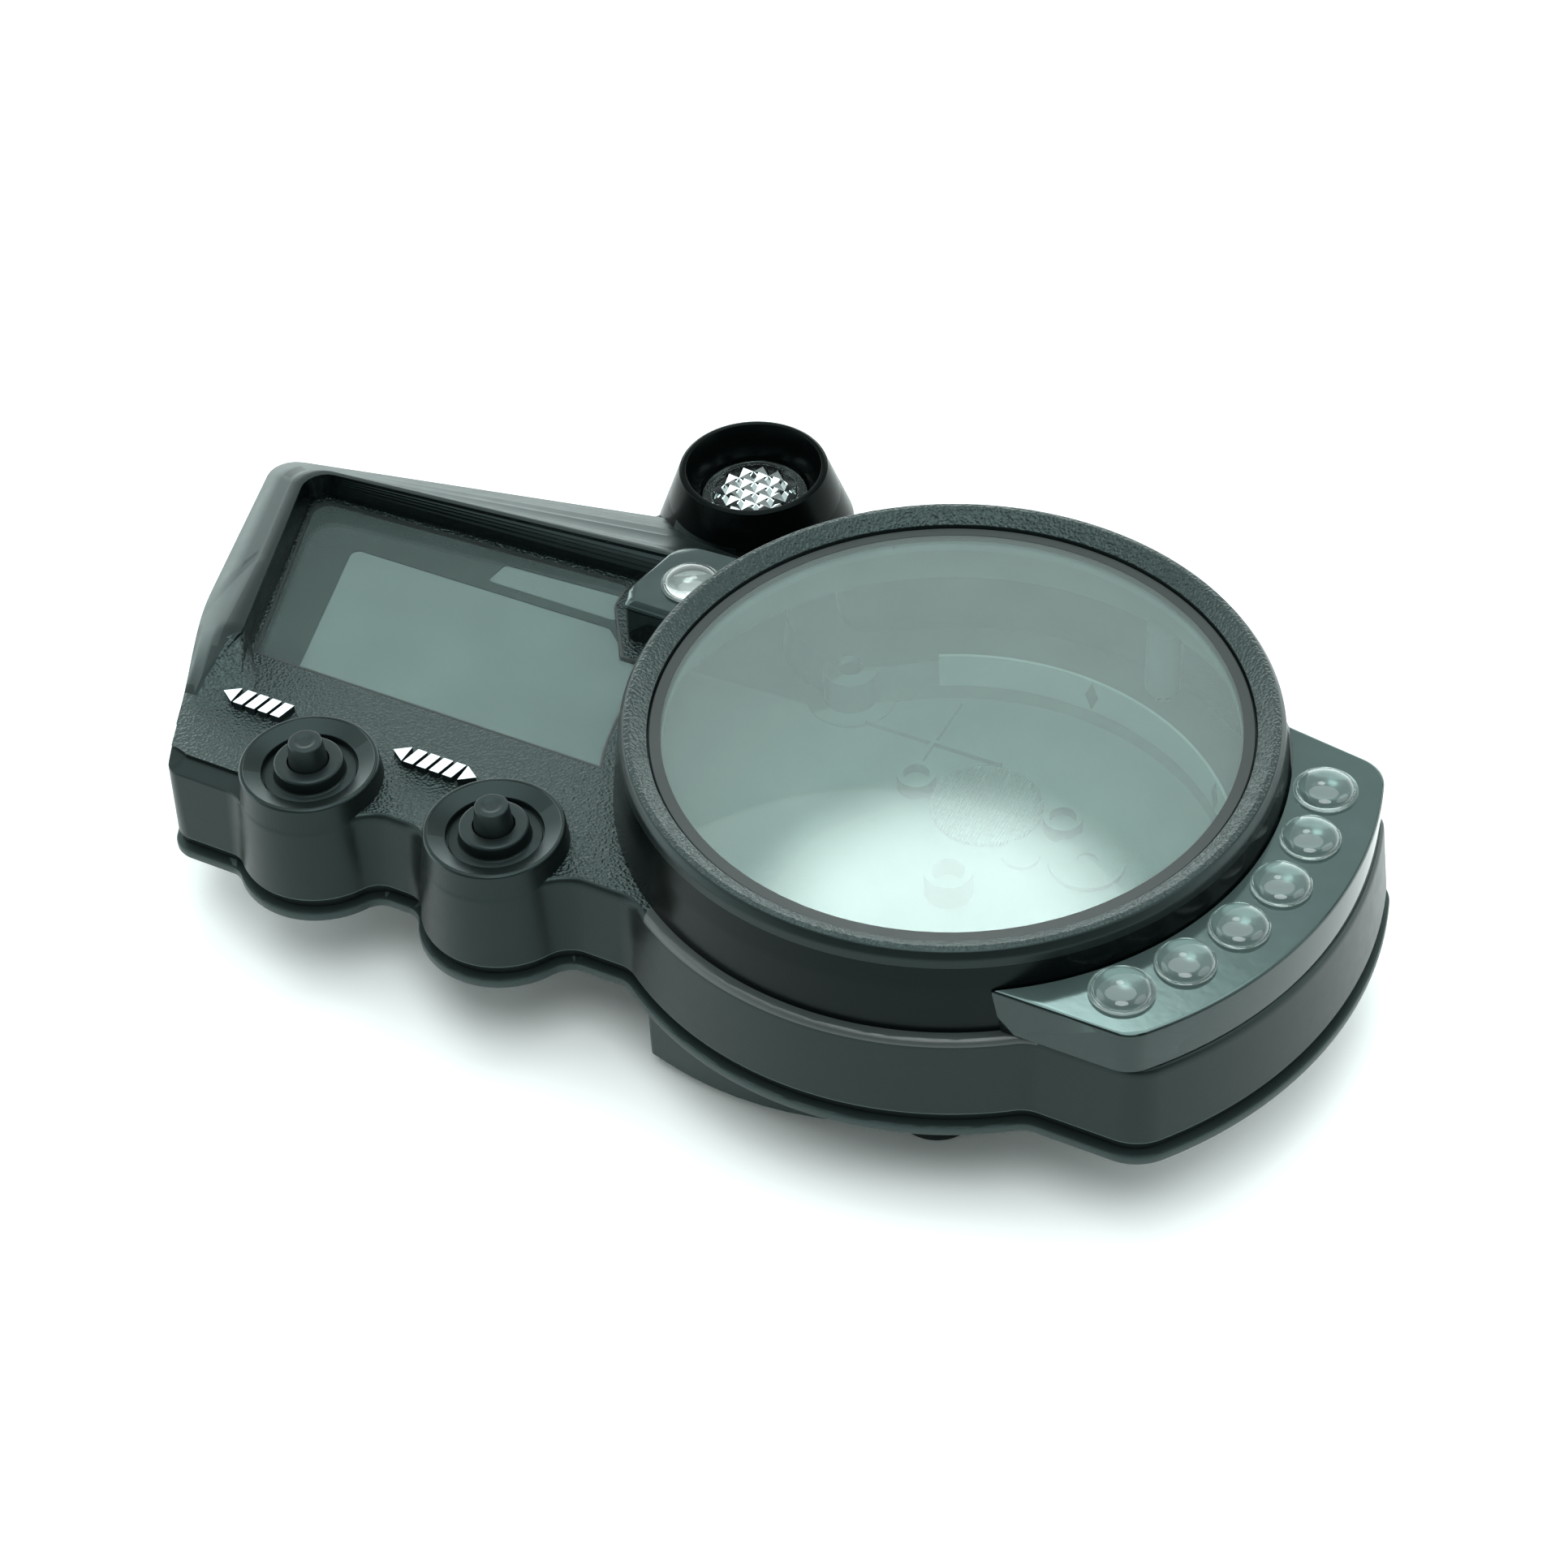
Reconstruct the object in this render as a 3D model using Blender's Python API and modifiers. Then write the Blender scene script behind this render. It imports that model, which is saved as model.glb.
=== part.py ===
"""Motorcycle instrument cluster case, face up on its three rubber mounts.

Sizes are millimetres until a vertex is made.  Plan positions are measured from the axis of the
round rev-counter drum, +X towards the row of indicator lamps and +Y towards the shift light.
Heights are measured up from the surface that the rubber mounts rest on.
"""
import math

import bmesh
import bpy

MM = 0.001
GAP = 0.3

# Where the drum axis stands in the object's frame, so that the frame's origin is under the middle.
DRUM_X, DRUM_Y = 40.54, -2.8

# Heights
TRAY_BOTTOM, TRAY_FLOOR = 11.0, 13.2
BLOCK_BOTTOM = 4.0
LIP_BOTTOM, LIP_TOP = 19.2, 21.4
SEAM = 24.0
PANEL_UNDER, PANEL = 37.6, 40.0
LEDGE_EDGE = 38.8
FRAME_EDGE, FRAME_RIM = 42.4, 46.0
RIDGE_BASE = 37.8
RAMP_START, RAMP_END = -24.0, -46.0
BOSS_TOP = 44.0
STRIP_TOP = 49.0
DRUM_TOP = 53.4
LENS_SEAT, LENS_TOP = 51.7, 54.0
BEZEL_TOP = 56.5
HOOD_SEAT, HOOD_TOP = 45.4, 52.0

# Round features, plan centre and radius at the seam
DRUM = (0.0, 0.0, 63.0)
RIGHT_ARC = (0.0, 0.0, 76.5)
RESET = (-102.5, -47.0, 14.6)
SELECT = (-64.6, -47.1, 14.6)
HOOD = (-64.6, 50.2, 18.4)
LAMP_RADIUS, LAMP_PITCH, FIRST_LAMP = 64.6, 10.8, -39.5
LAMPS = 6
POD_LAMP = (-60.9, 18.4)
# Slot for the lamps under the strip: first and last bearing, inner and outer radius
LAMP_SLOT = (-42.5, 17.5, 61.6, 67.4)
WALL = 2.4
SKIRT_DRAFT = 1.6
SHARP = 0.4
LIP_OUT, LIP_IN = 0.9, -9.5

# Straight edges of the plan outline: outward normal in degrees and distance from the drum axis
LEFT_FRONT = (-90.0, 56.3)
MID_FRONT = (-90.0, 51.4)
FRONT = (-90.0, 50.6)
STRIP_BACK = (81.0, 37.3)
BACK = (101.4, 57.3)
LEFT_BACK = (195.5, 146.3)
LEFT = (203.6, 141.9)
LEFT_TUCK, UPRIGHT = 2.2, 0.85

SCREW_PLACES = [(-126.0, -50.3), (-84.0, -45.4), (-45.0, -44.6), (64.5, -27.5), (69.5, 9.5), (17.7, 53.7),
                (-151.2, 21.6)]
MOUNT_PLACES = [(15.0, -38.0), (-38.8, 37.4), (-118.0, 2.0)]
BREATHER = (-2.9, 20.8)
CONNECTOR = (-82.0, -8.0)


# ---------------------------------------------------------------- plan geometry

def direction(degrees):
    return math.cos(math.radians(degrees)), math.sin(math.radians(degrees))


def bearing(start, end):
    return math.degrees(math.atan2(end[1] - start[1], end[0] - start[0]))


def meet(first, second):
    """Where two straight edges, each a normal and a distance, cross."""
    (ax, ay), (bx, by) = direction(first[0]), direction(second[0])
    det = ax * by - ay * bx
    return (first[1] * by - ay * second[1]) / det, (ax * second[1] - bx * first[1]) / det


def shifted(edge, by):
    return edge[0], edge[1] + by


def arc(centre, radius, start, end, turn=1, steps=3):
    """Points on an arc from one bearing to another, anticlockwise when turn is 1."""
    span = (turn * (end - start)) % 360.0
    bearings = [start + turn * span * i / steps for i in range(steps + 1)]
    return [(centre[0] + radius * direction(b)[0], centre[1] + radius * direction(b)[1]) for b in bearings]


def corner(first, second, radius, steps=3):
    """The rounded corner between two straight edges."""
    centre = meet(shifted(first, -radius), shifted(second, -radius))
    return arc(centre, radius, first[0], second[0], steps=steps)


def beside_edge(edge, circle, reach, distance, side):
    """A centre that lies `reach` outside an edge and `distance` from a circle's centre."""
    nx, ny = direction(edge[0])
    along = (-ny, nx)
    off = edge[1] + reach - nx * circle[0] - ny * circle[1]
    run = side * math.sqrt(distance ** 2 - off ** 2)
    return circle[0] + nx * off + along[0] * run, circle[1] + ny * off + along[1] * run


def cover_outline(grow=0.0):
    """The case's plan outline, moved outward by `grow`, anticlockwise from the front left corner."""
    def wide(circle):
        return circle[0], circle[1], circle[2] + grow

    def cove(edge, circle, radius, side):
        inner = radius - grow
        return beside_edge(edge, circle, inner, circle[2] + inner, side), inner

    reset, select, drum, right, hood = [wide(c) for c in (RESET, SELECT, DRUM, RIGHT_ARC, HOOD)]
    left_front, mid_front, front = [shifted(e, grow) for e in (LEFT_FRONT, MID_FRONT, FRONT)]
    strip_back, back, left_back = [shifted(e, grow) for e in (STRIP_BACK, BACK, LEFT_BACK)]
    left = shifted(LEFT, grow - LEFT_TUCK + UPRIGHT * min(WALL, max(0.0, -grow)))
    coves = [cove(left_front, reset, 5.0, -1), cove(mid_front, reset, 5.0, 1),
             cove(mid_front, select, 5.0, -1), cove(front, select, 6.0, 1),
             cove(front, drum, 6.0, -1), cove(front, drum, 6.0, 1), cove(strip_back, drum, 5.0, -1)]
    edges = [left_front, mid_front, mid_front, front, front, front, strip_back]
    circles = [reset, reset, select, select, drum, drum, drum]
    leads_in = [True, False, True, False, True, False, True]

    def cove_points(index):
        centre, radius = coves[index]
        edge_side, circle_side = edges[index][0] + 180.0, bearing(centre, circles[index])
        start, end = (edge_side, circle_side) if leads_in[index] else (circle_side, edge_side)
        return arc(centre, radius, start, end, -1)

    def round_by(radius):
        return max(SHARP, radius + grow)

    front_corner = round_by(9.0)
    front_centre = beside_edge(front, right, -front_corner, right[2] - front_corner, 1)
    back_corner = round_by(7.0)
    back_centre = beside_edge(strip_back, right, -back_corner, right[2] - back_corner, -1)
    neck = 5.0 - grow
    apart = math.hypot(hood[0], hood[1])
    reach_drum, reach_hood = drum[2] + neck, hood[2] + neck
    cosine = (reach_drum ** 2 + apart ** 2 - reach_hood ** 2) / (2 * reach_drum * apart)
    swing = math.degrees(math.acos(cosine))
    toward = direction(bearing(drum, hood) - swing)
    neck_centre = (reach_drum * toward[0], reach_drum * toward[1])
    hood_cove = 6.0 - grow
    hood_cove_centre = beside_edge(back, hood, hood_cove, hood[2] + hood_cove, 1)

    def round_part(circle, start, end, steps):
        return arc(circle, circle[2], bearing(circle, start), bearing(circle, end), steps=steps)

    points = corner(left, left_front, round_by(4.5))
    points += cove_points(0) + round_part(reset, coves[0][0], coves[1][0], 8)
    points += cove_points(1) + cove_points(2) + round_part(select, coves[2][0], coves[3][0], 8)
    points += cove_points(3) + cove_points(4) + round_part(drum, coves[4][0], coves[5][0], 10)
    points += cove_points(5)
    points += arc(front_centre, front_corner, front[0], bearing(right, front_centre))
    points += round_part(right, front_centre, back_centre, 9)
    points += arc(back_centre, back_corner, bearing(right, back_centre), strip_back[0])
    points += cove_points(6) + round_part(drum, coves[6][0], neck_centre, 14)
    points += arc(neck_centre, neck, bearing(neck_centre, drum), bearing(neck_centre, hood), -1)
    points += round_part(hood, neck_centre, hood_cove_centre, 10)
    points += arc(hood_cove_centre, hood_cove, bearing(hood_cove_centre, hood), back[0] + 180.0, -1)
    points += corner(back, left_back, round_by(6.0))
    points += corner(left_back, left, 60.0 + grow)
    return distinct(points)


def distinct(points):
    """The same closed outline without repeated points."""
    kept = []
    for point in points:
        if not kept or math.dist(point, kept[-1]) > 0.02:
            kept.append(point)
    if math.dist(kept[0], kept[-1]) < 0.02:
        kept.pop()
    return kept


def rounded(corners, steps=3):
    """A closed outline through (x, y, radius) corners, each rounded with the same number of steps."""
    points = []
    count = len(corners)
    for i, (x, y, radius) in enumerate(corners):
        before, after = corners[i - 1], corners[(i + 1) % count]
        if radius == 0:
            points.append((x, y))
            continue
        back, ahead = bearing((x, y), before), bearing((x, y), after)
        half = math.radians(((ahead - back + 180.0) % 360.0 - 180.0) / 2)
        middle = direction(back + math.degrees(half))
        far = radius / abs(math.sin(half))
        centre = (x + far * middle[0], y + far * middle[1])
        reach = far * math.cos(half)
        start = (x + reach * direction(back)[0], y + reach * direction(back)[1])
        end = (x + reach * direction(ahead)[0], y + reach * direction(ahead)[1])
        first = bearing(centre, start)
        sweep = (bearing(centre, end) - first + 180.0) % 360.0 - 180.0
        for k in range(steps + 1):
            ray = direction(first + sweep * k / steps)
            points.append((centre[0] + radius * ray[0], centre[1] + radius * ray[1]))
    return points


def oblong(centre, half_length, half_width, radius):
    """A rectangle with rounded corners."""
    left, right = centre[0] - half_length, centre[0] + half_length
    front, back = centre[1] - half_width, centre[1] + half_width
    return rounded([(left, front, radius), (right, front, radius),
                    (right, back, radius), (left, back, radius)])


def strip_outline(inset=0.0):
    """The curved lamp strip's plan, between the drum and the right-hand arc."""
    outer, inner = 74.3 - inset, 59.8 + inset
    front = (-90.0, 49.9 - inset)
    back = (81.0, 36.6 - inset)
    radius = 6.5 - inset
    hub = (0.0, 0.0)
    front_centre = beside_edge(front, (0.0, 0.0), -radius, outer - radius, 1)
    back_centre = beside_edge(back, (0.0, 0.0), -radius, outer - radius, -1)
    low = beside_edge(front, (0.0, 0.0), 0.0, inner, 1)
    high = beside_edge(back, (0.0, 0.0), 0.0, inner, -1)
    points = arc(front_centre, radius, front[0], bearing(hub, front_centre))
    points += arc(hub, outer, bearing(hub, front_centre), bearing(hub, back_centre), steps=12)
    points += arc(back_centre, radius, bearing(hub, back_centre), back[0])
    points += arc(hub, inner, bearing(hub, high), bearing(hub, low), -1, steps=16)
    return distinct(points)


def pod_outline(inset, drum_radius):
    """The small lamp pod's plan, closed by an arc beside the drum."""
    back_start = math.degrees(math.asin((29.6 - inset) / drum_radius))
    front_end = math.degrees(math.asin((9.2 + inset) / drum_radius))
    free = rounded([(-55.0, 29.6 - inset, 0), (-68.6 + inset, 28.6 - inset, 5.0),
                    (-71.4 + inset, 13.5, 4.0), (-69.8 + inset, 9.2 + inset, 1.2), (-58.0, 9.2 + inset, 0)])
    return distinct(arc((0.0, 0.0), drum_radius, 180.0 - front_end, 180.0 - back_start, -1) + free[1:-1])


def lcd_outline(inset=0.0):
    """The display window's plan: slanted left edge, cut round by the drum and the pod."""
    drum_side = 62.0 + inset
    low, high = -22.7 + inset, 4.4 - inset
    start = 180.0 + math.degrees(math.asin(-low / drum_side))
    end = 180.0 - math.degrees(math.asin(high / drum_side))
    edge = arc((0.0, 0.0), drum_side, start, end, -1, steps=6)
    free = rounded([(-68.4 - inset, high, 0), (-76.4 - inset, 16.4, 0), (-77.2 - inset, 22.9 - inset, 1.0),
                    (-143.9 + inset * 1.1, 19.6 - inset, 3.0), (-130.2 + inset * 1.3, low, 1.0),
                    (-60.0, low, 0)])
    return distinct(edge + free[:-1])


def frame_section(level):
    """One level of the raised frame that runs up the left of the display and along its top."""
    left, left_back, back = [shifted(e, -SKIRT_DRAFT - 0.5) for e in (LEFT, LEFT_BACK, BACK)]
    bend, top_left = meet(left, left_back), meet(left_back, back)
    along = direction(BACK[0] - 90.0)
    end = -54.0
    run = (end - top_left[0]) / along[0]
    outer = [(-132.4, -45.4, 0.4), (bend[0], bend[1], 60.0), (top_left[0], top_left[1], 5.0),
             (end, top_left[1] + run * along[1], 0)]
    foot = [(end, 25.4, 0), (-144.8, 20.7, 3.0), (-131.6, -22.0, 0), (-130.4, -31.0, 1.0)]
    rim = [(-133.6, -38.5, 0.4), (-140.9, -5.0, 60.0), (-149.2, 21.4, 4.5), (end, 32.5, 0),
           (end, 28.4, 0), (-145.4, 20.6, 4.5), (-131.4, -23.5, 0), (-130.9, -25.5, 0.4)]
    return rounded(rim if level == "rim" else outer + foot)


# ---------------------------------------------------------------- making solids

def start_scene():
    for thing in list(bpy.data.objects):
        bpy.data.objects.remove(thing, do_unlink=True)
    made = []
    for name in ("instrument_cluster", "cutters"):
        collection = bpy.data.collections.new(name)
        bpy.context.scene.collection.children.link(collection)
        made.append(collection)
    return made


PARTS, TOOLS = start_scene()


def material(name, colour, roughness, metallic=0.0, alpha=1.0):
    made = bpy.data.materials.new(name)
    made.use_nodes = True
    shader = made.node_tree.nodes["Principled BSDF"]
    shader.inputs["Base Color"].default_value = (*colour, 1.0)
    shader.inputs["Roughness"].default_value = roughness
    shader.inputs["Metallic"].default_value = metallic
    shader.inputs["Alpha"].default_value = alpha
    return made


COVER_BLACK = material("cover_black", (0.020, 0.022, 0.022), 0.42)
CASE_BLACK = material("case_black", (0.016, 0.017, 0.017), 0.50)
RUBBER = material("black_rubber", (0.012, 0.012, 0.012), 0.65)
SMOKED = material("smoked_plastic", (0.030, 0.036, 0.036), 0.08, 0.0, 0.6)
WINDOW = material("clear_window", (0.55, 0.62, 0.60), 0.04, 0.0, 0.3)
CLEAR = material("clear_lens", (0.85, 0.88, 0.88), 0.03, 0.0, 0.4)
REFLECTOR = material("reflector_silver", (0.75, 0.76, 0.77), 0.15, 1.0)
ZINC = material("zinc_steel", (0.55, 0.55, 0.52), 0.30, 1.0)
MESH_GREY = material("breather_grey", (0.25, 0.26, 0.26), 0.55)


def place(point, height):
    return (point[0] + DRUM_X) * MM, (point[1] + DRUM_Y) * MM, height * MM


def keep(name, mesh, look):
    """Make a mesh into a part, or into a cutting or joining tool when it has no material."""
    thing = bpy.data.objects.new(name, mesh)
    if look is None:
        TOOLS.objects.link(thing)
        thing.hide_render = True
        thing.display_type = 'WIRE'
        return thing
    PARTS.objects.link(thing)
    mesh.materials.append(look)
    mesh.shade_smooth()
    mesh.set_sharp_from_angle(angle=math.radians(32.0))
    return thing


def loft(name, sections, look=None):
    """A closed solid through (outline, height) sections that have the same number of points."""
    shape = bmesh.new()
    rings = [[shape.verts.new(place(p, height)) for p in outline] for outline, height in sections]
    count = len(rings[0])
    for low, high in zip(rings, rings[1:]):
        for i in range(count):
            shape.faces.new((low[i - 1], low[i], high[i], high[i - 1]))
    shape.faces.new(rings[0][::-1])
    shape.faces.new(rings[-1])
    bmesh.ops.recalc_face_normals(shape, faces=shape.faces)
    bmesh.ops.triangulate(shape, faces=[f for f in shape.faces if len(f.verts) > 4])
    mesh = bpy.data.meshes.new(name)
    shape.to_mesh(mesh)
    shape.free()
    return keep(name, mesh, look)


def slab(name, outline, low, high, look=None):
    """A flat slab of one outline between two heights."""
    return loft(name, [(outline, low), (outline, high)], look)


def plate(name, outlines, low, high, look=None):
    """A flat plate between two heights; outlines after the first are holes through it."""
    curve = bpy.data.curves.new(name, 'CURVE')
    curve.dimensions = '2D'
    curve.fill_mode = 'BOTH'
    curve.extrude = (high - low) / 2 * MM
    for outline in outlines:
        spline = curve.splines.new('POLY')
        spline.points.add(len(outline) - 1)
        for point, (x, y) in zip(spline.points, outline):
            point.co = ((x + DRUM_X) * MM, (y + DRUM_Y) * MM, 0.0, 1.0)
        spline.use_cyclic_u = True
    drawn = bpy.data.objects.new(name + "_curve", curve)
    TOOLS.objects.link(drawn)
    graph = bpy.context.evaluated_depsgraph_get()
    mesh = bpy.data.meshes.new_from_object(drawn.evaluated_get(graph))
    bpy.data.objects.remove(drawn, do_unlink=True)
    shape = bmesh.new()
    shape.from_mesh(mesh)
    bmesh.ops.remove_doubles(shape, verts=shape.verts, dist=0.000002)
    bmesh.ops.translate(shape, verts=shape.verts, vec=(0.0, 0.0, (low + high) / 2 * MM))
    bmesh.ops.recalc_face_normals(shape, faces=shape.faces)
    shape.to_mesh(mesh)
    shape.free()
    mesh.name = name
    mesh.materials.clear()
    return keep(name, mesh, look)


def cylinders(name, places, radius, low, high, look=None, sides=24, top_radius=None):
    """Equal upright cylinders or cones, one at each plan position."""
    shape = bmesh.new()
    for point in places:
        made = bmesh.ops.create_cone(shape, cap_ends=True, segments=sides, radius1=radius * MM,
                                     radius2=(top_radius or radius) * MM, depth=(high - low) * MM)
        bmesh.ops.translate(shape, verts=made["verts"], vec=place(point, (low + high) / 2))
    mesh = bpy.data.meshes.new(name)
    shape.to_mesh(mesh)
    shape.free()
    return keep(name, mesh, look)


def turned(name, point, profile, look=None, sides=48, ring=False):
    """A turned solid: (radius, height) points from top to bottom; a ring's profile closes on itself."""
    mesh = bpy.data.meshes.new(name)
    count = len(profile)
    edges = [(i, i + 1) for i in range(count - 1)] + ([(count - 1, 0)] if ring else [])
    mesh.from_pydata([(radius * MM, 0.0, height * MM) for radius, height in profile], edges, [])
    thing = keep(name, mesh, look)
    thing.location = place(point, 0.0)
    screw = thing.modifiers.new("turn", 'SCREW')
    screw.steps = screw.render_steps = sides
    screw.use_merge_vertices = True
    screw.merge_threshold = 0.00001
    screw.use_smooth_shade = look is not None
    return thing


def combine(target, tool, operation, solver):
    step = target.modifiers.new(tool.name, 'BOOLEAN')
    step.object = tool
    step.operation = operation
    step.solver = solver


def join(target, *tools, solver='EXACT'):
    for tool in tools:
        combine(target, tool, 'UNION', solver)


def cut(target, *tools, solver='EXACT'):
    for tool in tools:
        combine(target, tool, 'DIFFERENCE', solver)


# ---------------------------------------------------------------- the front cover

def lamp_places():
    rays = [direction(FIRST_LAMP + LAMP_PITCH * i) for i in range(LAMPS)]
    return [(LAMP_RADIUS * x, LAMP_RADIUS * y) for x, y in rays]


def run_out(ridge):
    """Lower the ridge's free end so that it dies away into the panel at the front left corner."""
    start, base = place((0.0, RAMP_START), RIDGE_BASE)[1:]
    end = place((0.0, RAMP_END), RIDGE_BASE)[1]
    for vertex in ridge.data.vertices:
        run = min(1.0, max(0.0, (vertex.co.y - start) / (end - start)))
        left = 1.0 - run * run * (3.0 - 2.0 * run)
        vertex.co.z = base + (vertex.co.z - base) * left


def front_cover():
    ledge = -SKIRT_DRAFT
    cover = loft("front_cover", [(cover_outline(), SEAM), (cover_outline(ledge), LEDGE_EDGE),
                                 (cover_outline(ledge - 0.9), PANEL)], COVER_BLACK)
    drum_wall = [(0.0, DRUM_TOP), (57.5, DRUM_TOP), (58.2, STRIP_TOP), (59.2, 39.0), (0.0, 39.0)]
    frame = loft("frame_ridge", [(frame_section("foot"), RIDGE_BASE), (frame_section("foot"), FRAME_EDGE),
                                 (frame_section("rim"), FRAME_RIM)])
    run_out(frame)
    hood_seat = [(0.0, HOOD_SEAT), (16.8, HOOD_SEAT), (17.0, 38.0), (0.0, 38.0)]
    join(cover,
         turned("drum_wall", (0.0, 0.0), drum_wall, sides=60),
         frame,
         turned("hood_seat", HOOD[:2], hood_seat),
         slab("pod_base", pod_outline(0.0, 55.6), PANEL - 1.0, 47.1),
         cylinders("button_bosses", [RESET[:2], SELECT[:2]], 13.0, PANEL - 1.0, BOSS_TOP, sides=36,
                   top_radius=12.4))
    cavity = loft("cover_cavity", [(cover_outline(-WALL), SEAM - 1.0),
                                   (cover_outline(-WALL - SKIRT_DRAFT), PANEL_UNDER)])
    drum_bore = [(0.0, 60.0), (52.2, 60.0), (52.2, LENS_SEAT), (49.9, LENS_SEAT), (49.9, 49.6), (55.2, 49.6),
                 (56.6, 36.0), (0.0, 36.0)]
    cut(cover, cavity, turned("drum_bore", (0.0, 0.0), drum_bore, sides=60))
    cut(cover,
        slab("lcd_seat", lcd_outline(-GAP), 38.9, 60.0),
        slab("lcd_window", lcd_outline(2.2), 36.0, 41.0),
        solver='MANIFOLD')
    posts = cylinders("screw_posts", SCREW_PLACES, 3.4, LIP_TOP + GAP, PANEL_UNDER + 1.0, sides=12)
    join(cover, posts, solver='MANIFOLD')
    recess = [(0.0, 60.0), (11.9, 60.0), (11.9, 43.9), (8.5, 42.7), (8.5, 41.4), (3.9, 41.4), (3.9, 30.0),
              (0.0, 30.0)]
    for index, (x, y, _) in enumerate((RESET, SELECT)):
        cut(cover, turned(f"button_recess_{index}", (x, y), recess, sides=28), solver='MANIFOLD')
    first, last, inner, outer = LAMP_SLOT
    lamp_slot = arc((0.0, 0.0), outer, first, last, steps=16)
    lamp_slot += arc((0.0, 0.0), inner, last, first, -1, steps=16)
    cut(cover,
        cylinders("pilot_holes", SCREW_PLACES, 1.3, 18.0, 33.0, sides=10),
        cylinders("pod_lamp_hole", [POD_LAMP], 3.2, 30.0, 60.0, sides=12),
        slab("lamp_slot", lamp_slot, 30.0, 46.0),
        cylinders("shift_light_hole", [HOOD[:2]], 8.4, 34.0, 60.0, sides=24),
        cylinders("shift_light_seat", [HOOD[:2]], 10.6, 43.4, 60.0, sides=32),
        solver='MANIFOLD')
    return cover


def windows():
    turned("tach_lens", (0.0, 0.0), [(0.0, LENS_TOP), (51.5, LENS_TOP), (51.9, LENS_TOP - 0.4),
                                     (51.9, LENS_SEAT + GAP), (0.0, LENS_SEAT + GAP)], WINDOW, sides=60)
    bezel = [(54.9, BEZEL_TOP), (56.6, 56.1), (57.4, 55.0), (57.5, DRUM_TOP + GAP), (52.3, DRUM_TOP + GAP),
             (52.3, 54.5), (53.6, 56.2)]
    turned("tach_bezel", (0.0, 0.0), bezel, COVER_BLACK, sides=60, ring=True)
    slab("lcd_lens", lcd_outline(), 39.2, PANEL, WINDOW)


def indicators():
    strip = slab("indicator_strip", strip_outline(), PANEL + GAP, STRIP_TOP, SMOKED)
    edge = strip.modifiers.new("rounded_edge", 'BEVEL')
    edge.width = 0.5 * MM
    edge.segments = 2
    edge.angle_limit = math.radians(50.0)
    cut(strip,
        slab("strip_cavity", strip_outline(1.8), PANEL - 1.0, STRIP_TOP - 1.8),
        cylinders("strip_holes", lamp_places(), 4.5, 44.0, 60.0, sides=20))
    pod = slab("indicator_pod", pod_outline(0.0, 59.0), 47.4, STRIP_TOP, SMOKED)
    cut(pod, cylinders("pod_hole", [POD_LAMP], 4.5, 44.0, 60.0, sides=20))
    low, top = STRIP_TOP + GAP, STRIP_TOP + GAP + 2.3
    rise = 1.8
    crown = [(5.0 * math.sin(math.radians(a)), top - rise * (1.0 - math.cos(math.radians(a))))
             for a in (0.0, 30.0, 60.0, 90.0)]
    stem = [(5.0, low), (4.2, low), (4.2, 45.4), (0.0, 45.4)]
    short_stem = [(5.0, low), (4.2, low), (4.2, 47.4), (0.0, 47.4)]
    for index, point in enumerate(lamp_places()):
        turned(f"indicator_lens_{index + 1}", point, crown + stem, CLEAR, sides=18)
    turned("pod_lens", POD_LAMP, crown + short_stem, CLEAR, sides=18)


def shift_light():
    seat = HOOD_SEAT + GAP
    hood = [(13.2, HOOD_TOP), (13.9, HOOD_TOP - 0.4), (16.8, seat), (10.3, seat), (12.6, HOOD_TOP - 0.3)]
    turned("shift_light_hood", HOOD[:2], hood, COVER_BLACK, sides=40, ring=True)
    turned("shift_light_lens", HOOD[:2], [(0.0, 46.2), (7.6, 45.6), (9.9, 45.3), (9.9, 43.7), (0.0, 43.7)],
           CLEAR, sides=32)
    cup = [(7.9, 43.2), (7.9, 34.0), (3.4, 29.0), (2.3, 29.0), (7.0, 34.8), (7.0, 43.2)]
    turned("shift_light_reflector", HOOD[:2], cup, REFLECTOR, sides=24, ring=True)


# ---------------------------------------------------------------- the two push buttons

BUTTON_TOP, STEM_BOTTOM = 49.2, 24.2
FLANGE_TOP, FLANGE_BOTTOM = 37.2, 35.8
RETAINER_LOW, RETAINER_HIGH = 25.0, 26.6
SPRING_RADIUS, SPRING_WIRE, SPRING_TURNS, SPRING_POINTS = 4.0, 0.8, 4, 9


def spring(name, point):
    """A compression spring between the retainer and the button's flange."""
    low = RETAINER_HIGH + GAP + SPRING_WIRE / 2
    high = FLANGE_BOTTOM - GAP - SPRING_WIRE / 2
    curve = bpy.data.curves.new(name, 'CURVE')
    curve.dimensions = '3D'
    curve.bevel_depth = SPRING_WIRE / 2 * MM
    curve.bevel_resolution = 1
    curve.use_fill_caps = True
    total = SPRING_TURNS * SPRING_POINTS
    spline = curve.splines.new('POLY')
    spline.points.add(total)
    for i in range(total + 1):
        x, y = direction(360.0 * i / SPRING_POINTS)
        where = (point[0] + SPRING_RADIUS * x, point[1] + SPRING_RADIUS * y)
        spline.points[i].co = (*place(where, low + (high - low) * i / total), 1.0)
    thing = bpy.data.objects.new(name, curve)
    PARTS.objects.link(thing)
    curve.materials.append(ZINC)
    return thing


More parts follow.
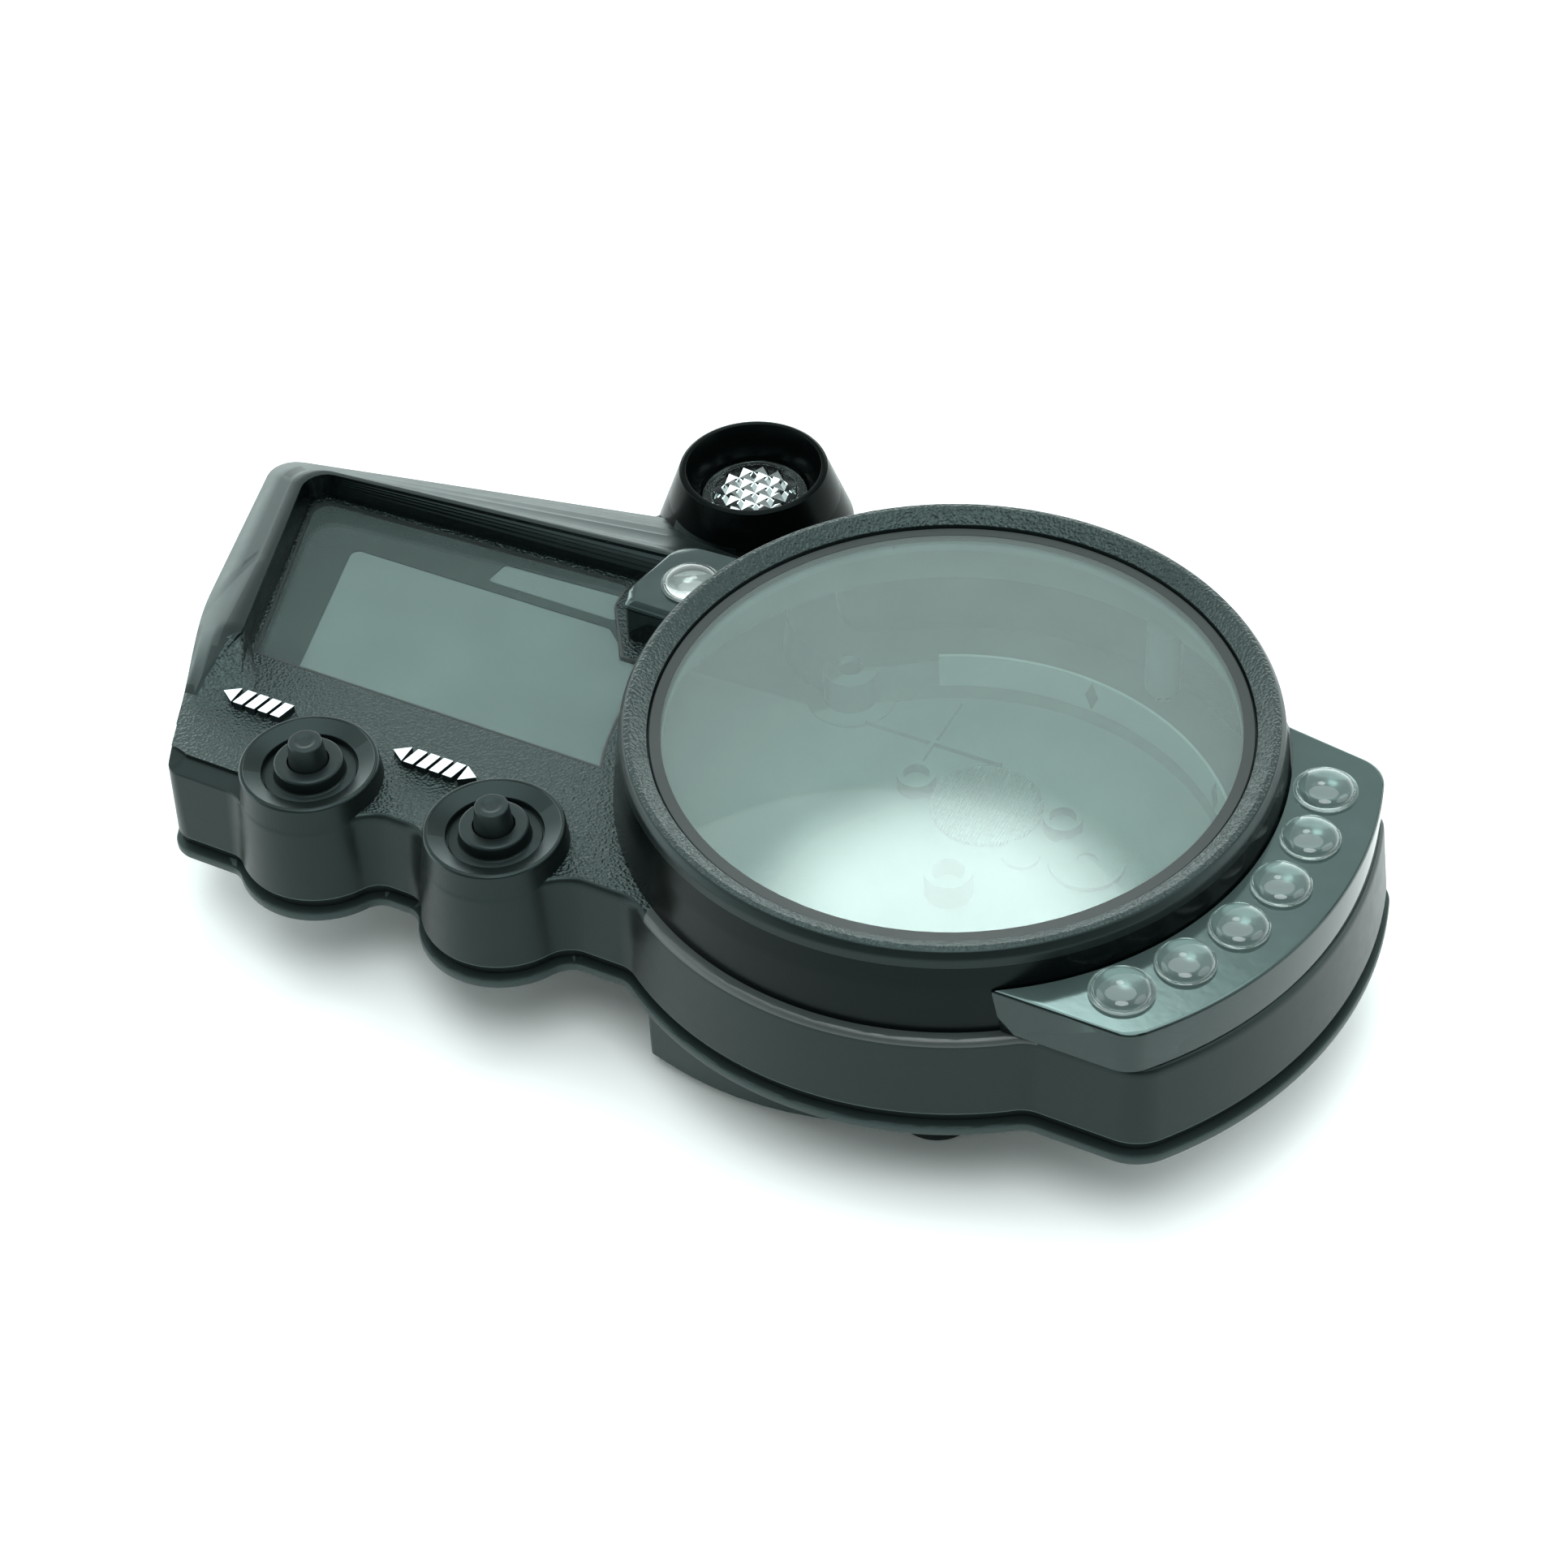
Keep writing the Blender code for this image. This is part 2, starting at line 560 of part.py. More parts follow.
def push_button(word, point):
    turned(f"{word}_button", point,
           [(0.0, BUTTON_TOP), (2.7, BUTTON_TOP), (3.0, BUTTON_TOP - 0.3), (3.5, 44.4), (3.5, FLANGE_TOP),
            (5.6, FLANGE_TOP), (5.6, FLANGE_BOTTOM), (2.0, FLANGE_BOTTOM), (2.0, STEM_BOTTOM),
            (0.0, STEM_BOTTOM)],
           RUBBER, sides=24)
    turned(f"{word}_boot", point,
           [(5.3, 44.8), (6.0, 44.5), (6.25, 43.8), (6.25, 42.7), (8.1, 42.5), (8.1, 41.7),
            (3.9, 41.7), (3.9, 44.2), (4.5, 44.7)], RUBBER, sides=28, ring=True)
    turned(f"{word}_retainer", point,
           [(11.4, RETAINER_HIGH), (11.4, RETAINER_LOW), (2.6, RETAINER_LOW), (2.6, RETAINER_HIGH)],
           CASE_BLACK, sides=24, ring=True)
    spring(f"{word}_spring", point)


# ---------------------------------------------------------------- the rear case and its fittings

def rear_case():
    case = slab("rear_case", cover_outline(LIP_OUT), LIP_BOTTOM, LIP_TOP, CASE_BLACK)
    tray = loft("tray", [(cover_outline(LIP_IN - 1.5), TRAY_BOTTOM), (cover_outline(LIP_IN), LIP_TOP - 0.6)])
    hollow = loft("tray_hollow", [(cover_outline(LIP_IN - 3.6), TRAY_FLOOR),
                                  (cover_outline(LIP_IN - 2.2), LIP_TOP + 2.0)])
    block = rounded([(-35.0, -50.6, 1.5), (-16.0, -55.2, 60.0), (2.4, -50.8, 3.0), (2.4, -38.0, 0),
                     (-35.0, -38.0, 0)])
    block_hollow = rounded([(-32.8, -48.6, 1.0), (-16.0, -52.6, 60.0), (0.2, -48.6, 1.0), (0.2, -40.2, 0),
                            (-32.8, -40.2, 0)])
    join(case, tray, slab("block", block, BLOCK_BOTTOM, LIP_BOTTOM + 0.5))
    cut(case, hollow, slab("block_hollow", block_hollow, BLOCK_BOTTOM + 2.0, LIP_BOTTOM + 4.0))
    join(case,
         cylinders("mount_ears", MOUNT_PLACES, 8.6, TRAY_BOTTOM, TRAY_FLOOR + 0.4, sides=24),
         cylinders("mount_bosses", MOUNT_PLACES, 5.2, TRAY_FLOOR - 1.0, 20.6, sides=20),
         cylinders("centre_boss", [(0.0, -1.5)], 4.4, TRAY_FLOOR - 1.0, 18.5, sides=20),
         cylinders("round_pad", [(19.6, 15.2)], 7.0, TRAY_FLOOR - 1.0, 14.2, sides=20))
    cut(case,
        cylinders("mount_holes", MOUNT_PLACES, 2.3, 0.0, 30.0, sides=16),
        cylinders("centre_hole", [(0.0, -1.5)], 3.0, 15.0, 30.0, sides=16),
        cylinders("pad_hole", [(19.6, 15.2)], 2.0, 13.6, 30.0, sides=12),
        cylinders("breather_hole", [BREATHER], 8.6, 5.0, 16.0, sides=20),
        cylinders("screw_holes", SCREW_PLACES, 1.7, 15.0, 25.0, sides=10),
        slab("connector_hole", oblong(CONNECTOR, 12.0, 6.0, 1.5), 5.0, 16.0))
    return case


def case_fittings():
    plate("case_gasket", [cover_outline(-0.9), cover_outline(-2.3)], LIP_TOP + GAP, SEAM - GAP, RUBBER)
    low = TRAY_FLOOR + GAP
    turned("breather_mesh", BREATHER, [(0.0, low + 0.6), (10.4, low + 0.6), (10.4, low), (0.0, low)],
           MESH_GREY, sides=24)
    for index, point in enumerate(MOUNT_PLACES):
        grommet = [(7.4, TRAY_BOTTOM - GAP), (7.4, 0.5), (6.9, 0.0), (3.4, 0.0), (3.4, TRAY_BOTTOM - GAP)]
        turned(f"mount_grommet_{index + 1}", point, grommet, RUBBER, sides=20, ring=True)
        collar = [(3.1, TRAY_BOTTOM - GAP), (3.1, 0.3), (2.3, 0.3), (2.3, TRAY_BOTTOM - GAP)]
        turned(f"mount_collar_{index + 1}", point, collar, ZINC, sides=16, ring=True)
    for index, point in enumerate(SCREW_PLACES):
        head = LIP_BOTTOM - GAP
        screw = [(0.0, 30.0), (0.9, 30.0), (1.1, 29.0), (1.1, head), (3.0, head), (2.6, head - 1.9),
                 (0.0, head - 1.9)]
        turned(f"case_screw_{index + 1}", point, screw, ZINC, sides=10)
    plate("connector_boot", [oblong(CONNECTOR, 14.0, 8.0, 3.0), oblong(CONNECTOR, 11.6, 5.6, 1.5)],
          3.0, TRAY_BOTTOM - GAP, RUBBER)


front_cover()
windows()
indicators()
shift_light()
push_button("reset", RESET[:2])
push_button("select", SELECT[:2])
rear_case()
case_fittings()
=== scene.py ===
"""Looks of a motorcycle instrument cluster case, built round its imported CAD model.

Plan positions are millimetres from the axis of the round drum and heights are millimetres above the
surface that the case rests on.  Meshes are made in millimetres, and piece() turns them into metres.
"""

import math

import bmesh
import bpy
from mathutils import Matrix, Vector
from mathutils.geometry import delaunay_2d_cdt


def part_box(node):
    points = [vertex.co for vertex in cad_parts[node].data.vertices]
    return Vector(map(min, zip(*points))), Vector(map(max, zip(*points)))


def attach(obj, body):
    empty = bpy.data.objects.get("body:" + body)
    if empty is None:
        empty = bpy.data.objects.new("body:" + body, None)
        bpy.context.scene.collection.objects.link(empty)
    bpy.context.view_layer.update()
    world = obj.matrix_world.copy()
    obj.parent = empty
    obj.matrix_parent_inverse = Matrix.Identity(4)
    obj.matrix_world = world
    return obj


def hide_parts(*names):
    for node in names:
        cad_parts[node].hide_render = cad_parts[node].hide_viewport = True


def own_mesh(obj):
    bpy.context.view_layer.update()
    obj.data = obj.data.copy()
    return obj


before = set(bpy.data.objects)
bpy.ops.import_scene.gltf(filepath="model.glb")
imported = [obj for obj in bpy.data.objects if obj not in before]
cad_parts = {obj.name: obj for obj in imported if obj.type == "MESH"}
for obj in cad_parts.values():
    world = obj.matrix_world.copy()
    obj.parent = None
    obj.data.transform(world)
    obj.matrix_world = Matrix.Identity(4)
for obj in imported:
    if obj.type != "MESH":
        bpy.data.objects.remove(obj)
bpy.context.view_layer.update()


MM = 0.001
lens_low, lens_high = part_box("tach_lens")
DRUM_X = (lens_low.x + lens_high.x) / 2 / MM
DRUM_Y = (lens_low.y + lens_high.y) / 2 / MM

# Sizes shared with the CAD and its joints.  An edge is its normal's bearing and its distance from the
# drum's axis, and a circle is x, y and radius.
SEAM, PANEL, STRIP_TOP, DRUM_TOP, BEZEL_TOP = 24.0, 40.0, 49.0, 53.4, 56.5
DRUM, RIGHT_ARC = (0.0, 0.0, 63.0), (0.0, 0.0, 76.5)
RESET, SELECT, HOOD = (-102.5, -47.0, 14.6), (-64.6, -47.1, 14.6), (-64.6, 50.2, 18.4)
LEFT_FRONT, MID_FRONT, FRONT = (-90.0, 56.3), (-90.0, 51.4), (-90.0, 50.6)
STRIP_BACK, BACK, LEFT_BACK, LEFT = (81.0, 37.3), (101.4, 57.3), (195.5, 146.3), (203.6, 141.9)
LAMP_RADIUS, LAMP_PITCH, FIRST_LAMP = 64.6, 10.8, -39.5
POD_LAMP = (-60.9, 18.4)
SCREW_PLACES = [(-126.0, -50.3), (-84.0, -45.4), (-45.0, -44.6), (64.5, -27.5), (69.5, 9.5), (17.7, 53.7),
                (-151.2, 21.6)]
MOUNT_PLACES = [(15.0, -38.0), (-38.8, 37.4), (-118.0, 2.0)]
BREATHER, CONNECTOR = (-2.9, 20.8), (-82.0, -8.0)

# Sizes that the looks have for themselves: where the raised frame starts to sink and where it meets the
# panel (-24 and -46 in the CAD), where the painted highlight on the ledge round the drum ends in front and
# behind, the steps in an arc (for each of the CAD's) and in a corner, and a prism row's height by its pitch
RAMP_START, RAMP_END = -22.5, -42.0
HIGHLIGHT_FRONT_END, HIGHLIGHT_BACK_END = -33.0, -30.0
FINE, CORNER_STEPS = 4, 6
PRISM_ROW = 0.866


# ---------------------------------------------------------------- plan geometry

def point(x, y, z):
    return Vector((x + DRUM_X, y + DRUM_Y, z))


def direction(degrees):
    return math.cos(math.radians(degrees)), math.sin(math.radians(degrees))


def bearing(start, end):
    return math.degrees(math.atan2(end[1] - start[1], end[0] - start[0]))


def meet(first, second):
    """Where two straight edges, each a normal and a distance, cross."""
    (ax, ay), (bx, by) = direction(first[0]), direction(second[0])
    det = ax * by - ay * bx
    return (first[1] * by - ay * second[1]) / det, (ax * second[1] - bx * first[1]) / det


def shifted(edge, by):
    return edge[0], edge[1] + by


def arc(centre, radius, start, end, turn=1, steps=3):
    steps *= FINE
    span = (turn * (end - start)) % 360.0
    bearings = [start + turn * span * i / steps for i in range(steps + 1)]
    return [(centre[0] + radius * direction(b)[0], centre[1] + radius * direction(b)[1]) for b in bearings]


def corner(first, second, radius):
    centre = meet(shifted(first, -radius), shifted(second, -radius))
    return arc(centre, radius, first[0], second[0])


def beside_edge(edge, circle, reach, distance, side):
    nx, ny = direction(edge[0])
    off = edge[1] + reach - nx * circle[0] - ny * circle[1]
    run = side * math.sqrt(distance ** 2 - off ** 2)
    return circle[0] + nx * off - ny * run, circle[1] + ny * off + nx * run


def distinct(points):
    kept = []
    for p in points:
        if not kept or math.dist(p, kept[-1]) > 0.004:
            kept.append(p)
    if math.dist(kept[0], kept[-1]) < 0.004:
        kept.pop()
    return kept


def cover_outline(grow=0.0, whole=True):
    """The case's plan outline, moved outward by `grow`, anticlockwise from the front left corner."""
    def wide(circle):
        return circle[0], circle[1], circle[2] + grow

    def cove(edge, circle, radius, side):
        inner = radius - grow
        return beside_edge(edge, circle, inner, circle[2] + inner, side), inner

    reset, select, drum, right, hood = [wide(c) for c in (RESET, SELECT, DRUM, RIGHT_ARC, HOOD)]
    left_front, mid_front, front = [shifted(e, grow) for e in (LEFT_FRONT, MID_FRONT, FRONT)]
    strip_back, back, left_back = [shifted(e, grow) for e in (STRIP_BACK, BACK, LEFT_BACK)]
    left = shifted(LEFT, grow - 2.2 + 0.85 * min(2.4, max(0.0, -grow)))
    coves = [cove(left_front, reset, 5.0, -1), cove(mid_front, reset, 5.0, 1),
             cove(mid_front, select, 5.0, -1), cove(front, select, 6.0, 1),
             cove(front, drum, 6.0, -1), cove(front, drum, 6.0, 1), cove(strip_back, drum, 5.0, -1)]
    edges = [left_front, mid_front, mid_front, front, front, front, strip_back]
    circles = [reset, reset, select, select, drum, drum, drum]
    leads_in = [True, False, True, False, True, False, True]

    def cove_points(index):
        centre, radius = coves[index]
        edge_side, circle_side = edges[index][0] + 180.0, bearing(centre, circles[index])
        start, end = (edge_side, circle_side) if leads_in[index] else (circle_side, edge_side)
        return arc(centre, radius, start, end, -1)

    def round_by(radius):
        return max(0.4, radius + grow)

    front_corner = round_by(9.0)
    front_centre = beside_edge(front, right, -front_corner, right[2] - front_corner, 1)
    back_corner = round_by(7.0)
    back_centre = beside_edge(strip_back, right, -back_corner, right[2] - back_corner, -1)
    neck = 5.0 - grow
    apart = math.hypot(hood[0], hood[1])
    reach_drum, reach_hood = drum[2] + neck, hood[2] + neck
    swing = math.degrees(math.acos((reach_drum ** 2 + apart ** 2 - reach_hood ** 2)
                                   / (2 * reach_drum * apart)))
    toward = direction(bearing(drum, hood) - swing)
    neck_centre = (reach_drum * toward[0], reach_drum * toward[1])
    hood_cove = 6.0 - grow
    hood_cove_centre = beside_edge(back, hood, hood_cove, hood[2] + hood_cove, 1)

    def round_part(circle, start, end, steps):
        return arc(circle, circle[2], bearing(circle, start), bearing(circle, end), steps=steps)

    points = corner(left, left_front, round_by(4.5))
    if not whole:
        return points + cove_points(0)
    points += cove_points(0) + round_part(reset, coves[0][0], coves[1][0], 8)
    points += cove_points(1) + cove_points(2) + round_part(select, coves[2][0], coves[3][0], 8)
    points += cove_points(3) + cove_points(4) + round_part(drum, coves[4][0], coves[5][0], 10)
    points += cove_points(5)
    points += arc(front_centre, front_corner, front[0], bearing(right, front_centre))
    points += round_part(right, front_centre, back_centre, 9)
    points += arc(back_centre, back_corner, bearing(right, back_centre), strip_back[0])
    points += cove_points(6) + round_part(drum, coves[6][0], neck_centre, 14)
    points += arc(neck_centre, neck, bearing(neck_centre, drum), bearing(neck_centre, hood), -1)
    points += round_part(hood, neck_centre, hood_cove_centre, 10)
    points += arc(hood_cove_centre, hood_cove, bearing(hood_cove_centre, hood), back[0] + 180.0, -1)
    points += corner(back, left_back, round_by(6.0))
    points += corner(left_back, left, 60.0 + grow)
    return distinct(points)


def rounded(corners):
    """A closed outline through (x, y, radius) corners."""
    points = []
    for i, (x, y, radius) in enumerate(corners):
        before, after = corners[i - 1], corners[(i + 1) % len(corners)]
        if radius == 0:
            points.append((x, y))
            continue
        back, ahead = bearing((x, y), before), bearing((x, y), after)
        half = math.radians(((ahead - back + 180.0) % 360.0 - 180.0) / 2)
        middle = direction(back + math.degrees(half))
        far = radius / abs(math.sin(half))
        centre = (x + far * middle[0], y + far * middle[1])
        reach = far * math.cos(half)
        start = (x + reach * direction(back)[0], y + reach * direction(back)[1])
        end = (x + reach * direction(ahead)[0], y + reach * direction(ahead)[1])
        first = bearing(centre, start)
        sweep = (bearing(centre, end) - first + 180.0) % 360.0 - 180.0
        for k in range(CORNER_STEPS + 1):
            ray = direction(first + sweep * k / CORNER_STEPS)
            points.append((centre[0] + radius * ray[0], centre[1] + radius * ray[1]))
    return points


def oblong(centre, half_length, half_width, radius):
    left, right = centre[0] - half_length, centre[0] + half_length
    front, back = centre[1] - half_width, centre[1] + half_width
    return rounded([(x, y, radius) for x, y in ((left, front), (right, front), (right, back), (left, back))])


def strip_outline(inset=0.0, inner=59.8):
    outer, inner = 74.3 - inset, inner + inset
    front, back = (-90.0, 49.9 - inset), (81.0, 36.6 - inset)
    radius = 6.5 - inset
    hub = (0.0, 0.0)
    front_centre = beside_edge(front, hub, -radius, outer - radius, 1)
    back_centre = beside_edge(back, hub, -radius, outer - radius, -1)
    low, high = beside_edge(front, hub, 0.0, inner, 1), beside_edge(back, hub, 0.0, inner, -1)
    points = arc(front_centre, radius, front[0], bearing(hub, front_centre))
    points += arc(hub, outer, bearing(hub, front_centre), bearing(hub, back_centre), steps=12)
    points += arc(back_centre, radius, bearing(hub, back_centre), back[0])
    points += arc(hub, inner, bearing(hub, high), bearing(hub, low), -1, steps=16)
    return points


def pod_outline(inset, drum_radius):
    back_start = math.degrees(math.asin((29.6 - inset) / drum_radius))
    front_end = math.degrees(math.asin((9.2 + inset) / drum_radius))
    free = rounded([(-55.0, 29.6 - inset, 0), (-68.6 + inset, 28.6 - inset, 5.0),
                    (-71.4 + inset, 13.5, 4.0), (-69.8 + inset, 9.2 + inset, 1.2), (-58.0, 9.2 + inset, 0)])
    return arc((0.0, 0.0), drum_radius, 180.0 - front_end, 180.0 - back_start, -1) + free[1:-1]


def lcd_outline(inset=0.0):
    drum_side = 62.0 + inset
    low, high = -22.7 + inset, 4.4 - inset
    start = 180.0 + math.degrees(math.asin(-low / drum_side))
    end = 180.0 - math.degrees(math.asin(high / drum_side))
    edge = arc((0.0, 0.0), drum_side, start, end, -1, steps=6)
    free = rounded([(-68.4 - inset, high, 0), (-76.4 - inset, 16.4, 0), (-77.2 - inset, 22.9 - inset, 1.0),
                    (-143.9 + inset * 1.1, 19.6 - inset, 3.0), (-130.2 + inset * 1.3, low, 1.0),
                    (-60.0, low, 0)])
    return edge + free[:-1]


def frame_section(level, pull=2.1, flare=0.0):
    """One level of the raised frame that runs up the left of the display and along its top."""
    left, left_back, back = [shifted(e, -pull) for e in (LEFT, LEFT_BACK, BACK)]
    bend, top_left = meet(left, left_back), meet(left_back, back)
    along = direction(BACK[0] - 90.0)
    end = -54.0
    run = (end - top_left[0]) / along[0]
    outer = [(-132.4, -45.4, 0.4), (bend[0], bend[1], 60.0), (top_left[0], top_left[1], 5.0),
             (end, top_left[1] + run * along[1], 0)]
    foot = [(end, 25.4, 0), (-144.8, 20.7, 3.0), (-131.6, -22.0, 0),
            (-126.8 + flare, -32.0 - flare * 0.5, 3.0 + flare)]
    rim = [(-133.6, -36.0, 0.4), (-140.9, -5.0, 60.0), (-149.2, 21.4, 4.5), (end, 32.5, 0)]
    lip = [(-132.1, -25.6, 0.3), (-138.0, -5.2, 60.0), (-146.3, 21.4, 4.5), (end, 29.1, 0)]
    inside = [(end, 28.4, 0), (-145.4, 20.6, 4.5), (-131.4, -23.3, 0), (-131.2, -24.6, 0.3)]
    if level == "foot":
        return rounded(outer + foot)
    return rounded((rim if level == "rim" else lip) + inside)


def lamp_places():
    rays = [direction(FIRST_LAMP + LAMP_PITCH * i) for i in range(6)]
    return [(LAMP_RADIUS * x, LAMP_RADIUS * y) for x, y in rays]


# ---------------------------------------------------------------- meshes

def thing_from(name, shape):
    bmesh.ops.recalc_face_normals(shape, faces=shape.faces)
    mesh = bpy.data.meshes.new(name)
    shape.to_mesh(mesh)
    shape.free()
    thing = bpy.data.objects.new(name, mesh)
    bpy.context.scene.collection.objects.link(thing)
    return thing


def loft(name, sections):
    """A closed solid through (outline, height) sections that have the same number of points."""
    shape = bmesh.new()
    rings = [[shape.verts.new(point(x, y, height)) for x, y in outline] for outline, height in sections]
    count = len(rings[0])
    for low, high in zip(rings, rings[1:]):
        for i in range(count):
            shape.faces.new((low[i - 1], low[i], high[i], high[i - 1]))
    for ring in (rings[0], rings[-1]):
        flat = [v.co.xy for v in ring]
        loop = list(range(count))
        _, _, faces, origins, _, _ = delaunay_2d_cdt(flat, [], [loop], 1, 1e-6)
        for face in faces:
            shape.faces.new([ring[origins[v][0]] for v in face])
    return thing_from(name, shape)


def slab(name, outline, low, high):
    return loft(name, [(outline, low), (outline, high)])


def hoop(name, outer, inner, low, high):
    """A flat ring between two outlines with the same number of points."""
    shape = bmesh.new()
    rings = [[shape.verts.new(point(x, y, z)) for x, y in outline]
             for outline, z in ((outer, low), (outer, high), (inner, high), (inner, low))]
    for a, b in zip(rings, rings[1:] + rings[:1]):
        for i in range(len(a)):
            shape.faces.new((a[i - 1], a[i], b[i], b[i - 1]))
    return thing_from(name, shape)


def turned(name, centre, profile, steps=128, ring=False):
    """A turned solid from (radius, height) points; a ring's profile closes on itself."""
    shape = bmesh.new()
    rows = []
    for radius, height in profile:
        if radius < 1e-6:
            rows.append([shape.verts.new(point(centre[0], centre[1], height))] * steps)
        else:
            rays = [direction(360.0 * i / steps) for i in range(steps)]
            rows.append([shape.verts.new(point(centre[0] + radius * x, centre[1] + radius * y, height))
                         for x, y in rays])
    for low, high in zip(rows, rows[1:] + (rows[:1] if ring else [])):
        for i in range(steps):
            around = []
            for v in (low[i - 1], low[i], high[i], high[i - 1]):
                if v not in around:
                    around.append(v)
            if len(around) > 2:
                shape.faces.new(around)
    return thing_from(name, shape)


def swept(name, rings):
    """A closed solid through open rows of (x, y, height) points; the last row joins the first."""
    shape = bmesh.new()
    rows = [[shape.verts.new(point(*p)) for p in ring] for ring in rings]
    for a, b in zip(rows, rows[1:] + rows[:1]):
        for i in range(len(a) - 1):
            shape.faces.new((a[i], a[i + 1], b[i + 1], b[i]))
    shape.faces.new([row[0] for row in rows])
    shape.faces.new([row[-1] for row in rows][::-1])
    return thing_from(name, shape)


def posts(name, places, radius, low, high, sides=32):
    shape = bmesh.new()
    for x, y in places:
        made = bmesh.ops.create_cone(shape, cap_ends=True, segments=sides, radius1=radius, radius2=radius,
                                     depth=high - low)
        bmesh.ops.translate(shape, verts=made["verts"], vec=point(x, y, (low + high) / 2))
    return thing_from(name, shape)


def settle(thing):
    """Turn an object's modifiers into its mesh."""
    graph = bpy.context.evaluated_depsgraph_get()
    mesh = bpy.data.meshes.new_from_object(thing.evaluated_get(graph))
    thing.modifiers.clear()
    old = thing.data
    thing.data = mesh
    mesh.name = thing.name
    bpy.data.meshes.remove(old)
    return thing


def soften(thing, width, segments, angle):
    step = thing.modifiers.new("soften", 'BEVEL')
    step.width = width
    step.segments = segments
    step.angle_limit = math.radians(angle)
    return settle(thing)


def combine(target, operation, tools):
    for tool in tools:
        step = target.modifiers.new(tool.name, 'BOOLEAN')
        step.object = tool
        step.operation = operation
        step.solver = 'MANIFOLD'
    settle(target)
    for tool in tools:
        bpy.data.objects.remove(tool, do_unlink=True)
    return target


def score(target, along, low_y, high_y):
    """Divide the upward faces in a strip of the plan along an upright plane, without changing the shape."""
    shape = bmesh.new()
    shape.from_mesh(target.data)
    low, high = point(0, low_y, 0).y, point(0, high_y, 0).y
    faces = [f for f in shape.faces if f.normal.z > 0.3 and f.calc_center_median().z > 38.0
             and any(low < v.co.y < high for v in f.verts)]
    around = {e for f in faces for e in f.edges} | {v for f in faces for v in f.verts}
    bmesh.ops.bisect_plane(shape, geom=faces + list(around), plane_co=point(along, 0, 0),
                           plane_no=(1.0, 0.0, 0.0))
    shape.to_mesh(target.data)
    shape.free()


def join(target, *tools):
    return combine(target, 'UNION', tools)


def cut(target, *tools):
    return combine(target, 'DIFFERENCE', tools)


def piece(thing, look, nodes=(), body="case", sharp=35.0, flat=False, blended=None):
    """Give a finished mesh its material, shading and place on a body; `blended` is a box without creases."""
    shape = bmesh.new()
    shape.from_mesh(thing.data)
    bmesh.ops.triangulate(shape, faces=[f for f in shape.faces if len(f.verts) > 4])
    bmesh.ops.scale(shape, vec=(MM, MM, MM), verts=shape.verts)
    shape.to_mesh(thing.data)
    shape.free()
    looks = look if isinstance(look, list) else [look]
    thing.data.materials.clear()
    for each in looks:
        thing.data.materials.append(each)
    thing.data.shade_smooth()
    thing.data.set_sharp_from_angle(angle=math.radians(sharp))
    if blended:
        low, high = [point(*corner) * MM for corner in blended]
        creases = thing.data.attributes["sharp_edge"].data
        for edge in thing.data.edges:
            middle = (thing.data.vertices[edge.vertices[0]].co + thing.data.vertices[edge.vertices[1]].co) / 2
            if all(low[k] < middle[k] < high[k] for k in (0, 1, 2)):
                creases[edge.index].value = False
    if flat:
        step = thing.modifiers.new("even_shading", 'WEIGHTED_NORMAL')
        step.keep_sharp = True
        settle(thing)
    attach(thing, body)
    if nodes:
        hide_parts(*([nodes] if isinstance(nodes, str) else nodes))
    return thing


# ---------------------------------------------------------------- materials

def tuned(node, **inputs):
    """Set a node's inputs by name, with underscores for spaces."""
    for name, value in inputs.items():
        node.inputs[name.replace("_", " ")].default_value = value
    return node


